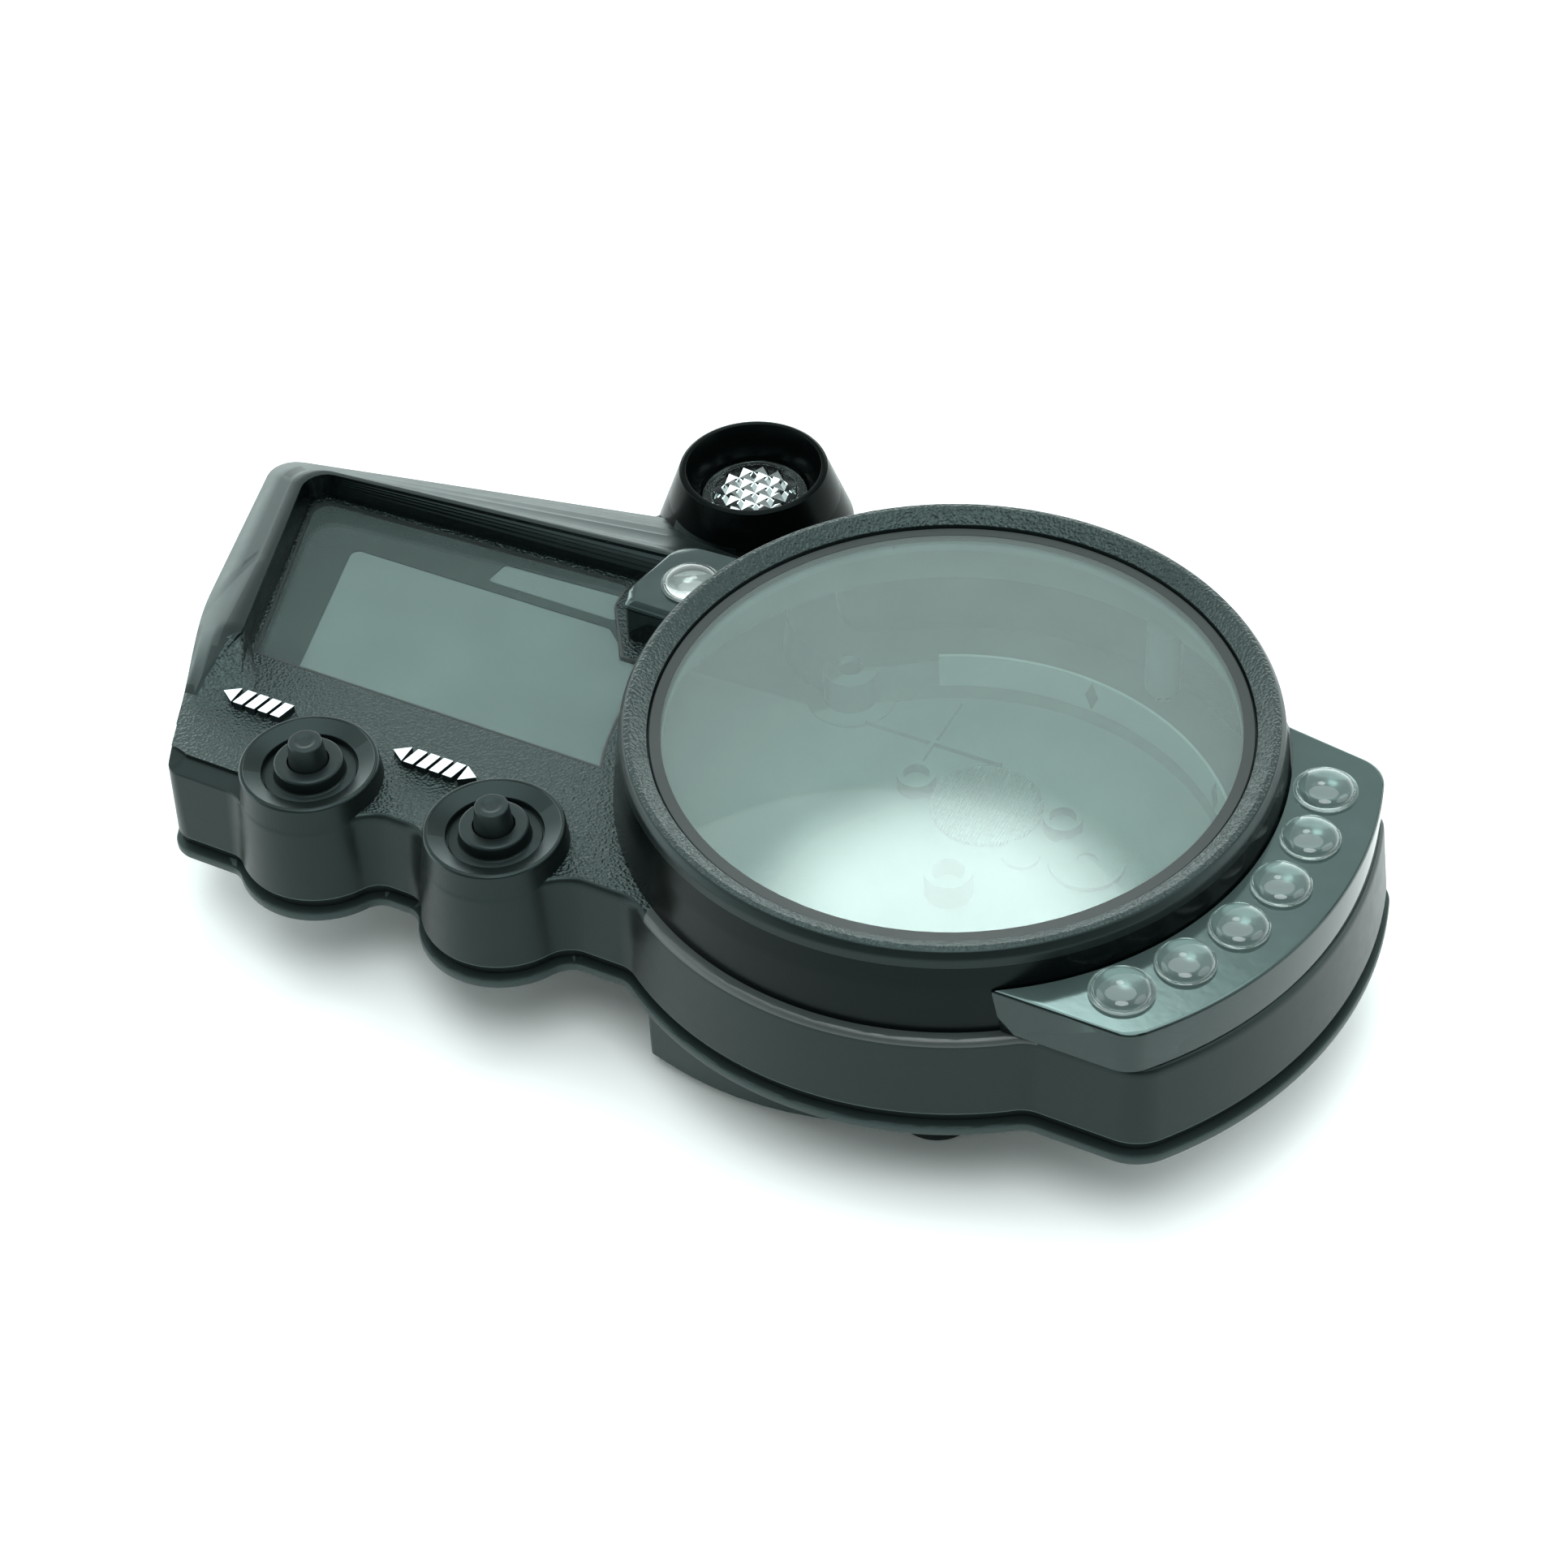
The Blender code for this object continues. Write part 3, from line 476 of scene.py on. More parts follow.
def moulded(name, colour, rough, metallic=0.0, specular=0.5, tone=0.12, patch=0.08, vary=0.05,
            grain=None, leather=None, brushed=None):
    """A Principled material whose colour, gloss and relief all come from procedural noise in millimetres.

    `grain`, `leather` and `brushed` are reliefs, each a pitch and a height.
    """
    made = bpy.data.materials.new(name)
    made.use_nodes = True
    nodes, links = made.node_tree.nodes, made.node_tree.links
    shader = tuned(nodes["Principled BSDF"], Metallic=metallic, Specular_IOR_Level=specular)
    place = nodes.new("ShaderNodeTexCoord")
    scale = tuned(nodes.new("ShaderNodeMapping"), Scale=(1 / MM, 1 / MM, 1 / MM))
    links.new(place.outputs["Object"], scale.inputs["Vector"])

    def noise(fineness, detail):
        node = tuned(nodes.new("ShaderNodeTexNoise"), Scale=fineness, Detail=detail)
        links.new(scale.outputs["Vector"], node.inputs["Vector"])
        return node

    ramp = nodes.new("ShaderNodeValToRGB")
    dark, pale = ramp.color_ramp.elements
    dark.position, pale.position = 0.3, 0.7
    dark.color = (*[c * (1 - tone) for c in colour], 1.0)
    pale.color = (*[min(1.0, c * (1 + tone)) for c in colour], 1.0)
    links.new(noise(patch, 5.0).outputs["Fac"], ramp.inputs["Fac"])
    links.new(ramp.outputs["Color"], shader.inputs["Base Color"])
    gloss = tuned(nodes.new("ShaderNodeMapRange"), To_Min=rough - vary, To_Max=rough + vary)
    links.new(noise(patch * 4.3, 3.0).outputs["Fac"], gloss.inputs["Value"])
    links.new(gloss.outputs["Result"], shader.inputs["Roughness"])
    relief = None
    if leather:
        pitch, height = leather
        mixed = nodes.new("ShaderNodeVectorMath")
        mixed.operation = 'MULTIPLY_ADD'
        mixed.inputs[1].default_value = (pitch, pitch, pitch)
        links.new(noise(0.9 / pitch, 2.0).outputs["Color"], mixed.inputs[0])
        links.new(scale.outputs["Vector"], mixed.inputs[2])
        cells = nodes.new("ShaderNodeTexVoronoi")
        cells.feature = 'SMOOTH_F1'
        tuned(cells, Scale=1.0 / pitch, Smoothness=0.45)
        links.new(mixed.outputs["Vector"], cells.inputs["Vector"])
        relief = cells.outputs["Distance"]
    elif grain:
        pitch, height = grain
        relief = noise(1.0 / pitch, 2.0).outputs["Fac"]
    elif brushed:
        pitch, height = brushed
        lines = tuned(nodes.new("ShaderNodeTexWave"), Scale=1.0 / pitch, Distortion=0.0)
        links.new(scale.outputs["Vector"], lines.inputs["Vector"])
        relief = lines.outputs["Fac"]
    if relief is not None:
        bump = tuned(nodes.new("ShaderNodeBump"), Strength=1.0, Distance=height * MM)
        links.new(relief, bump.inputs["Height"])
        links.new(bump.outputs["Normal"], shader.inputs["Normal"])
    return made


def clear_plastic(name, colour, rough=0.015, ior=1.49, tone=0.03, passes=(0.9, 0.9, 0.9), cloudy=0.0):
    """See-through plastic that lets lamp light on to what is behind it."""
    made = moulded(name, colour, rough, tone=tone, vary=rough * 0.6)
    nodes, links = made.node_tree.nodes, made.node_tree.links
    shader = tuned(nodes["Principled BSDF"], Transmission_Weight=1.0 - cloudy, IOR=ior)
    path = nodes.new("ShaderNodeLightPath")
    clear = tuned(nodes.new("ShaderNodeBsdfTransparent"), Color=(*passes, 1.0))
    mixed = nodes.new("ShaderNodeMixShader")
    links.new(path.outputs["Is Shadow Ray"], mixed.inputs["Fac"])
    links.new(shader.outputs["BSDF"], mixed.inputs[1])
    links.new(clear.outputs["BSDF"], mixed.inputs[2])
    links.new(mixed.outputs["Shader"], nodes["Material Output"].inputs["Surface"])
    return made


TEAL = (0.72, 1.0, 0.97, 1.0)
SATIN = moulded("satin_black", (0.0028, 0.0045, 0.0043), 0.34, specular=0.28, grain=(0.35, 0.012))
GRAINED = moulded("leather_grain_black", (0.0040, 0.0062, 0.0060), 0.36, specular=0.55, leather=(0.58, 0.25))
BEZEL = moulded("bezel_grain", (0.0040, 0.0062, 0.0060), 0.34, specular=0.45, leather=(0.55, 0.20))
GLOSS = moulded("gloss_black", (0.0015, 0.0025, 0.0025), 0.12, specular=0.45, vary=0.03, grain=(2.5, 0.01))
# A darker, nearly unreflective copy of the satin black for the drum wall: painted shade
DRUM_WALL_SHADE = moulded("drum_wall_painted_shade", (0.0010, 0.0016, 0.0016), 0.24, specular=0.12, grain=(0.35, 0.008))
# A darker, nearly unreflective copy of the black for the shift-light hood and its seat: painted shade
HOOD_SHADE = moulded("hood_painted_shade", (0.0008, 0.0013, 0.0013), 0.24, specular=0.05, grain=(0.35, 0.008))
# A lighter, more reflective copy of the satin black for the raised frame's outer slopes and top: painted
# sheen
FLANK_SHEEN = moulded("frame_flank_painted_sheen", (0.0034, 0.0053, 0.0051), 0.34, specular=0.45, grain=(0.5, 0.008))
CASE = moulded("case_black", (0.012, 0.018, 0.017), 0.42, specular=0.4, grain=(0.5, 0.02))
INNER = moulded("inside_grey", (0.050, 0.076, 0.070), 0.55, specular=0.2, tone=0.06, grain=(0.7, 0.01))
INNER_PALE = moulded("inside_pale", (0.14, 0.19, 0.18), 0.5, specular=0.2, tone=0.05, grain=(0.7, 0.01))
RUBBER = moulded("black_rubber", (0.0028, 0.0040, 0.0040), 0.44, specular=0.35, vary=0.08,
                 grain=(0.22, 0.015))
LENS = clear_plastic("clear_window", (0.78, 0.94, 0.90), cloudy=0.055)
PANEL_LENS = clear_plastic("display_window", (0.88, 0.97, 0.95), ior=1.2, cloudy=0.01)
SMOKE = clear_plastic("smoked_plastic", (0.015, 0.024, 0.023), 0.04, passes=(0.04, 0.05, 0.05), cloudy=0.1)
# An opaque copy of the smoked plastic for the strip's top: its own dark top, made lighter as painted sheen
SMOKE_TOP_SHEEN = moulded("smoked_top_painted_sheen", (0.034, 0.050, 0.048), 0.12, specular=0.9, vary=0.03, grain=(2.5, 0.01))
# A paler, glossier copy of the grained black, laid on the ledge round the drum as a painted highlight
PAINTED_LEDGE_HIGHLIGHT = moulded("ledge_painted_highlight", (0.018, 0.026, 0.025), 0.42, specular=0.7, grain=(0.3, 0.02))
POD = moulded("pod_satin", (0.008, 0.013, 0.0125), 0.22, specular=0.8, grain=(0.35, 0.006))
DOME = clear_plastic("clear_lens", (0.90, 0.97, 0.95), 0.01, passes=(0.95, 0.95, 0.95), cloudy=0.02)
PRINT = moulded("printed_border", (0.012, 0.018, 0.017), 0.35, grain=(0.3, 0.005))
MASK = moulded("display_mask", (0.010, 0.017, 0.016), 0.5, specular=0.1, tone=0.05, grain=(0.8, 0.002))
PANE = moulded("display_pane", (0.074, 0.092, 0.090), 0.5, specular=0.1, tone=0.05, patch=0.03,
               grain=(0.8, 0.002))
SILVER = moulded("reflector_silver", (0.80, 0.86, 0.86), 0.06, metallic=1.0, vary=0.03, tone=0.04)
CUP = moulded("lamp_cup", (0.020, 0.030, 0.028), 0.30, tone=0.1)
ZINC = moulded("zinc_steel", (0.55, 0.55, 0.50), 0.28, metallic=1.0, patch=0.4, brushed=(0.6, 0.01))
MESH = moulded("breather_mesh_grey", (0.085, 0.120, 0.112), 0.4, brushed=(1.6, 0.5))
WHITE = moulded("white_ink", (0.80, 0.86, 0.92), 0.4, tone=0.04, patch=0.5, grain=(0.3, 0.02))
for tinted in (SATIN, DRUM_WALL_SHADE, HOOD_SHADE, FLANK_SHEEN, GRAINED, BEZEL, SMOKE_TOP_SHEEN, POD, GLOSS, CASE, RUBBER, SMOKE,
               PANEL_LENS):
    tuned(tinted.node_tree.nodes["Principled BSDF"], Specular_Tint=TEAL)


# ---------------------------------------------------------------- the front cover

def ridge():
    """The raised frame beside and behind the display, with its free end run out into the panel."""
    flank, rim, lip = frame_section("foot", 2.6), frame_section("rim"), frame_section("lip")

    def between(low, high, share):
        return [(a[0] + (b[0] - a[0]) * share, a[1] + (b[1] - a[1]) * share) for a, b in zip(low, high)]

    levels = [(frame_section("foot", 1.9, 8.0), 37.8), (frame_section("foot", 2.4, 8.0), 39.9),
              (frame_section("foot", 2.5, 5.5), 40.5), (frame_section("foot", 2.6, 2.8), 41.3), (flank, 42.4)]
    levels += [(between(flank, rim, share), 42.4 + 2.8 * rise)
               for share, rise in ((0.22, 0.34), (0.45, 0.61), (0.7, 0.82), (1.0, 1.0))]
    levels += [(between(rim, lip, 0.35), 45.58), (between(rim, lip, 0.7), 45.86), (lip, 46.0)]
    made = loft("frame_ridge", levels)
    shape = bmesh.new()
    shape.from_mesh(made.data)
    for step in range(12):
        bmesh.ops.bisect_plane(shape, geom=shape.verts[:] + shape.edges[:] + shape.faces[:],
                               plane_co=point(0, RAMP_START - 1.9 * step, 0), plane_no=(0.0, 1.0, 0.0))
    start, end = point(0, RAMP_START, 0).y, point(0, RAMP_END, 0).y
    for vertex in shape.verts:
        run = min(1.0, max(0.0, (vertex.co.y - start) / (end - start)))
        if vertex.co.z > 39.9:
            vertex.co.z = 39.9 + (vertex.co.z - 39.9) * (1.0 - run * run * (3.0 - 2.0 * run))
    shape.to_mesh(made.data)
    shape.free()
    return made


def corner_groove():
    """The step that wraps the front left corner, swept along the outline."""
    section = [(-5.3, 41.0), (-5.2, 39.2), (-1.6, 38.6), (-0.9, 37.4), (2.0, 37.2), (2.0, 41.0)]
    rings = []
    up_edge, outward = direction(LEFT[0] - 90.0), direction(LEFT[0])
    for grow, height in section:
        run = cover_outline(grow, whole=False)
        lead = [[run[0][k] + up_edge[k] * far + outward[k] * out for k in (0, 1)]
                for far, out in ((60.0, 4.9), (9.0, 4.7), (3.0, 3.7))]
        rings.append([(x, y, height) for x, y in lead + run])
    return swept("corner_groove", rings)


def front_cover():
    rows = [(-0.4, 24.0), (-0.1, 24.1), (0.0, 24.4), (-1.4, 38.2), (-1.5, 38.95), (-1.72, 39.45),
            (-2.05, 39.82), (-2.45, PANEL)]
    cover = loft("front_cover_shell", [(cover_outline(grow), height) for grow, height in rows])
    cut(cover, corner_groove())
    drum = rounded([(0.0, DRUM_TOP, 0), (57.5, DRUM_TOP, 0), (58.2, STRIP_TOP, 30.0), (59.15, 40.0, 0),
                    (59.25, 38.4, 0), (0.0, 38.4, 0)])
    seat = [(0.0, 45.4), (16.25, 45.4), (18.6, 39.0), (18.6, 38.0), (0.0, 38.0)]
    boss = rounded([(0.0, 44.0, 0), (12.4, 44.0, 0.55), (13.05, 38.2, 0), (0.0, 38.2, 0)])
    join(cover,
         turned("drum_wall", (0, 0), drum, 192),
         ridge(),
         turned("hood_seat", HOOD[:2], seat, 96),
         slab("pod_base", pod_outline(0.0, 55.6), PANEL - 1.0, 47.1),
         turned("reset_boss", RESET[:2], boss, 96),
         turned("select_boss", SELECT[:2], boss, 96))
    bore = [(0.0, 60.0), (52.2, 60.0), (52.2, 51.7), (49.9, 51.7), (49.9, 49.6), (55.2, 49.6), (56.6, 36.0),
            (0.0, 36.0)]
    cut(cover,
        loft("cavity", [(cover_outline(-2.4), SEAM - 1.0), (cover_outline(-4.0), 37.6)]),
        turned("drum_bore", (0, 0), bore, 192),
        slab("lcd_seat", lcd_outline(-0.3), 38.9, 60.0),
        slab("lcd_window", lcd_outline(2.2), 36.0, 41.0))
    join(cover, posts("screw_posts", SCREW_PLACES, 3.4, 24.0, 38.6, 24))
    recess = rounded([(0.0, 60.0, 0), (11.7, 60.0, 0), (11.7, 43.95, 0.3), (8.6, 42.75, 0.25), (8.6, 41.4, 0),
                      (3.9, 41.4, 0.15), (3.9, 30.0, 0), (0.0, 30.0, 0)])
    cut(cover,
        turned("reset_recess", RESET[:2], recess, 96),
        turned("select_recess", SELECT[:2], recess, 96),
        posts("pilot_holes", SCREW_PLACES, 1.3, 18.0, 33.0, 16),
        posts("lamp_holes", lamp_places() + [POD_LAMP], 3.2, 30.0, 60.0, 24),
        posts("shift_hole", [HOOD[:2]], 8.4, 34.0, 60.0, 48),
        posts("shift_seat", [HOOD[:2]], 10.6, 43.4, 60.0, 64))
    # Split the ledge's faces where its painted highlight stops
    score(cover, HIGHLIGHT_FRONT_END, -62.0, 0.0)
    score(cover, HIGHLIGHT_BACK_END, 0.0, 62.0)
    looks = [SATIN, GRAINED, GLOSS, INNER, DRUM_WALL_SHADE, HOOD_SHADE, FLANK_SHEEN, PAINTED_LEDGE_HIGHLIGHT]
    piece(cover, looks, "front_cover", sharp=32.0, flat=True,
          blended=[(-150.0, -50.0, PANEL + 0.02), (-116.0, -24.5, 47.0)])
    for face in cover.data.polygons:
        x, y, z = [value / MM for value in face.center]
        x, y = x - DRUM_X, y - DRUM_Y
        nx, ny, nz = face.normal
        radius, from_hood = math.hypot(x, y), math.dist((x, y), HOOD[:2])
        highlight_end = HIGHLIGHT_FRONT_END if y < 0.0 else HIGHLIGHT_BACK_END
        clear_of_hood = from_hood > 19.0
        look = SATIN
        if nz > 0.9 and abs(z - PANEL) < 0.05:  # the panel, and the ledge in it with its painted highlight
            look = PAINTED_LEDGE_HIGHLIGHT if radius < 62.0 and x > highlight_end else GRAINED
        elif x < -116.0 and PANEL + 0.01 < z < 45.5 and (y < -38.0 or (y < -25.5 and x > -132.8)):
            look = GRAINED  # the frame's free end
        elif radius < 62.5 and 38.9 < z < PANEL + 0.1 and nz > 0.3 and x > highlight_end:
            look = PAINTED_LEDGE_HIGHLIGHT  # the ledge's foot, in the same painted highlight
        elif (0.3 < nz < 0.97 and PANEL < z < 45.6 and x < -54.0 and (ny > 0.2 or nx < -0.2)
              and clear_of_hood):
            look = FLANK_SHEEN  # the frame's outer slopes, in a lighter copy of the satin black: painted sheen
        elif nz > 0.5 and z > 42.5 and y > 24.0 and ny > 0.05 and -140.0 < x and clear_of_hood:
            look = FLANK_SHEEN  # the frame's top, in the same painted sheen
        elif PANEL - 0.5 < z < 45.9 and y > -25.5 and x < -60.0 and (nx > 0.75 or ny < -0.75):
            look = GLOSS  # the frame's inner walls
        elif nz < -0.3 or (radius < 57.0 and z < 51.0):
            look = INNER
        # the hood's seat, in the darker copy of the black: painted shade
        elif z > PANEL + 0.3 and from_hood < 18.7:
            look = HOOD_SHADE
        elif z > PANEL + 0.3 and 57.0 < radius < 59.7 and abs(nz) < 0.5:
            look = DRUM_WALL_SHADE  # the drum wall, in a darker, duller copy of the black: painted shade
        face.material_index = looks.index(look)


def drum_top():
    bezel = rounded([(52.3, DRUM_TOP + 0.02, 0), (57.5, DRUM_TOP + 0.02, 0), (57.3, 55.0, 1.5),
                     (56.4, 56.35, 0.9), (55.3, BEZEL_TOP, 0.5), (52.4, 54.6, 0.3)])
    ring = turned("tach_bezel_ring", (0, 0), bezel, 192, ring=True)
    piece(ring, [SATIN, BEZEL], "tach_bezel")
    for face in ring.data.polygons:
        centre = face.center / MM
        radius = math.hypot(centre.x - DRUM_X, centre.y - DRUM_Y)
        if radius < 56.2 and face.normal.z > 0.4:
            face.material_index = 1
    crown, edge, thick, rim = 0.9, 51.9, 2.0, 54.0
    profile = [(edge * i / 30, rim + crown * (1 - (i / 30) ** 2)) for i in range(30)]
    profile += [(edge - 0.1, rim), (edge, rim - 0.1), (edge, rim - thick)]
    profile += [(edge * i / 30, rim - thick + crown * (1 - (i / 30) ** 2)) for i in range(29, -1, -1)]
    piece(turned("tach_window", (0, 0), profile, 192), LENS, "tach_lens", sharp=50.0)
    border = [(50.05, rim + 0.08), (50.05, rim + 0.14), (51.95, rim + 0.06), (52.15, rim - 0.1),
              (52.15, 51.75), (51.96, 51.75), (51.96, rim + 0.01)]
    piece(turned("tach_window_border", (0, 0), border, 192, ring=True), PRINT)


def display():
    piece(slab("display_window", lcd_outline(), 39.3, PANEL), PANEL_LENS, "lcd_lens",
          flat=True)
    piece(hoop("display_border", lcd_outline(-0.27), lcd_outline(0.12), 38.95, PANEL + 0.02), PRINT)
    mask = slab("display_mask", lcd_outline(0.3), 39.08, 39.22)
    big = rounded([(-120.6, -24.0, 0), (-129.9, 10.4, 1.6), (-74.6, 10.9, 1.2), (-71.4, 8.2, 1.0),
                   (-66.0, 6.7, 0), (-50.0, 6.0, 0), (-50.0, -24.0, 0)])
    small = rounded([(-101.9, 13.1, 0.8), (-101.2, 18.4, 0.8), (-76.4, 19.6, 0.8), (-74.4, 13.1, 0.8)])
    cut(mask, slab("big_pane", big, 38.0, 40.5), slab("small_pane", small, 38.0, 40.5))
    piece(mask, MASK)
    pane = slab("display_pane", lcd_outline(0.3), 38.92, 39.02)
    piece(pane, PANE)


# ---------------------------------------------------------------- warning lamps

def lamps():
    rows = [(0.0, 40.3, 59.55), (0.0, 48.45, 58.65), (0.12, 48.75, 58.5), (0.35, 48.93, 58.25),
            (0.7, STRIP_TOP, 57.9)]
    strip = loft("indicator_strip_body",
                 [(strip_outline(inset, inner), height) for inset, height, inner in rows])
    cut(strip, slab("strip_cavity", strip_outline(1.8), PANEL - 1.0, 47.2),
        posts("strip_holes", lamp_places(), 4.5, 44.0, 60.0, 48))
    piece(strip, [SMOKE, SMOKE_TOP_SHEEN], "indicator_strip", flat=True)
    # The strip's top faces take the opaque copy with its painted sheen
    for face in strip.data.polygons:
        face.material_index = 1 if face.normal.z > 0.97 and face.center.z > 48.9 * MM else 0
    rows = [(0.0, 47.4), (0.0, 48.0), (0.35, 48.5), (1.0, STRIP_TOP)]
    pod = loft("indicator_pod_cap", [(pod_outline(inset, 59.0), height) for inset, height in rows])
    cut(pod, posts("pod_hole", [POD_LAMP], 4.5, 44.0, 60.0, 48))
    piece(pod, POD, "indicator_pod", flat=True)
    top, base = 51.6, 49.35
    rise = top - base - 0.25
    crown = [(5.0 * math.sin(math.radians(a)), base + 0.25 + rise * math.cos(math.radians(a)))
             for a in range(0, 91, 6)]
    crown[0] = (0.0, top)
    for index, place in enumerate(lamp_places() + [POD_LAMP]):
        name = f"indicator_lens_{index + 1}" if index < 6 else "pod_lens"
        flange = 5.55 if index in (0, 5, 6) else 5.2
        foot = 45.4 if index < 6 else 47.4
        rest = [(5.05, base + 0.2), (flange, base + 0.12), (flange, base - 0.02), (4.2, base - 0.04),
                (4.2, foot), (0.0, foot)]
        piece(turned(name + "_dome", place, crown + rest, 64), DOME, name, sharp=60.0)
        cup = [(0.0, foot - 0.7), (2.2, foot - 0.6), (3.9, foot - 0.1), (4.1, foot - 0.1), (4.1, foot - 0.4),
               (2.3, foot - 0.9), (0.0, foot - 1.0)]
        piece(turned(name + "_cup", place, cup, 48), CUP)


def shift_light():
    hood = rounded([(13.4, 52.0, 0.2), (13.95, 51.75, 0.25), (16.24, 45.42, 0.02), (10.3, 45.42, 0.1),
                    (12.75, 51.95, 0.2)])
    # The hood takes the darker copy of the black: painted shade
    piece(turned("shift_hood", HOOD[:2], hood, 128, ring=True), HOOD_SHADE, "shift_light_hood")
    pitch, reach = 3.2, 7.3
    shape = bmesh.new()
    verts = {}

    def corner_at(i, j):
        if (i, j) not in verts:
            verts[i, j] = shape.verts.new(point(HOOD[0] + (i + j / 2) * pitch,
                                                HOOD[1] + j * pitch * PRISM_ROW, 45.2))
        return verts[i, j]

    tops = []
    for i in range(-5, 6):
        for j in range(-3, 4):
            for corners in (((i, j), (i + 1, j), (i, j + 1)), ((i + 1, j), (i + 1, j + 1), (i, j + 1))):
                middle = [sum(c[k] for c in corners) / 3 for k in (0, 1)]
                if math.hypot((middle[0] + middle[1] / 2) * pitch, middle[1] * pitch * PRISM_ROW) < reach:
                    tops.append(shape.faces.new([corner_at(*c) for c in corners]))
    grown = bmesh.ops.extrude_face_region(shape, geom=tops)
    lifted = [g for g in grown["geom"] if isinstance(g, bmesh.types.BMFace)]
    bmesh.ops.translate(shape, verts=list({v for f in lifted for v in f.verts}), vec=(0.0, 0.0, 0.35))
    poked = bmesh.ops.poke(shape, faces=lifted)
    bmesh.ops.translate(shape, verts=poked["verts"], vec=(0.0, 0.0, 1.1))
    prisms = thing_from("shift_light_prisms", shape)
    piece(prisms, SILVER, sharp=5.0)
    collar = rounded([(8.2, 45.9, 0.3), (9.9, 45.4, 0.3), (9.9, 43.7, 0.1), (0.0, 43.7, 0), (0.0, 45.1, 0),
                      (7.7, 45.1, 0)])
    piece(turned("shift_light_collar", HOOD[:2], collar, 96), PANEL_LENS, "shift_light_lens")


# ---------------------------------------------------------------- buttons and their marks

def buttons():
    for word, place in (("reset", RESET[:2]), ("select", SELECT[:2])):
        nub = rounded([(0.0, 48.95, 0), (1.2, 48.98, 0.4), (1.9, 49.2, 0.3), (3.0, 49.2, 0.4),
                       (3.5, 44.4, 2.0), (3.5, 37.2, 0), (5.6, 37.2, 0), (5.6, 35.8, 0), (2.0, 35.8, 0),
                       (2.0, 24.2, 0), (0.0, 24.2, 0)])
        piece(turned(f"{word}_nub", place, nub, 64), RUBBER, f"{word}_button",
              body=f"{word}_button")
        boot = rounded([(3.72, 44.75, 0.1), (6.2, 44.8, 0.6), (6.25, 42.1, 0.2), (6.5, 41.8, 0.15),
                        (8.2, 41.7, 0.1), (8.2, 41.5, 0.05), (3.72, 41.5, 0.05)])
        piece(turned(f"{word}_rubber_boot", place, boot, 96, ring=True), RUBBER, f"{word}_boot")


def springs():
    """The return springs, copied from their CAD solids with the zinc look."""
    for name in ("reset", "select"):
        node = f"{name}_spring"
        coil = bpy.data.objects.new(f"{name}_coil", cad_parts[node].data.copy())
        bpy.context.scene.collection.objects.link(coil)
        coil.data.materials.clear()
        coil.data.materials.append(ZINC)
        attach(coil, "case")
        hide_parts(node)
        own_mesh(coil)


def raised_mark(name, blocks, base, height=1.4):
    """Plain raised shapes with white tops and black sides; each block is a list of plan corners."""
    shape = bmesh.new()
    for outline in blocks:
        low = [shape.verts.new(point(x, y, base - 0.1)) for x, y in outline]
        high = [shape.verts.new(point(x, y, base + height)) for x, y in outline]
        shape.faces.new(low[::-1])
        shape.faces.new(high)
        for i in range(len(low)):
            shape.faces.new((low[i - 1], low[i], high[i], high[i - 1]))
    made = thing_from(name, shape)
    piece(made, [RUBBER, WHITE], sharp=20.0)
    for face in made.data.polygons:
        face.material_index = 1 if face.normal.z > 0.9 else 0


def marks():
    """A return arrow beside one button and a pair of step arrows beside the other."""
    def slanted(x, y, width, tall):
        lean = tall * 0.22
        return [(x, y), (x + width, y), (x + width + lean, y + tall), (x + lean, y + tall)]

    def arrow(x, y, length, tall, way):
        tip = x + (length if way > 0 else 0.0)
        back = x + (0.0 if way > 0 else length)
        return [(back, y), (tip, y + tall / 2), (back, y + tall)][:: way]

    blocks = [arrow(-128.6, -37.1, 2.8, 3.8, -1)]
    blocks += [slanted(-125.4 + 2.65 * k, -37.1, 1.9, 3.8) for k in range(4)]
    raised_mark("return_mark", blocks, PANEL)
    blocks = [arrow(-92.4, -37.4, 2.8, 3.8, -1)]
    blocks += [slanted(-89.2 + 2.65 * k, -37.4, 1.9, 3.8) for k in range(4)]
    blocks += [arrow(-78.1, -37.4, 2.8, 3.8, 1)]
    raised_mark("step_mark", blocks, PANEL)


# ---------------------------------------------------------------- the rear case

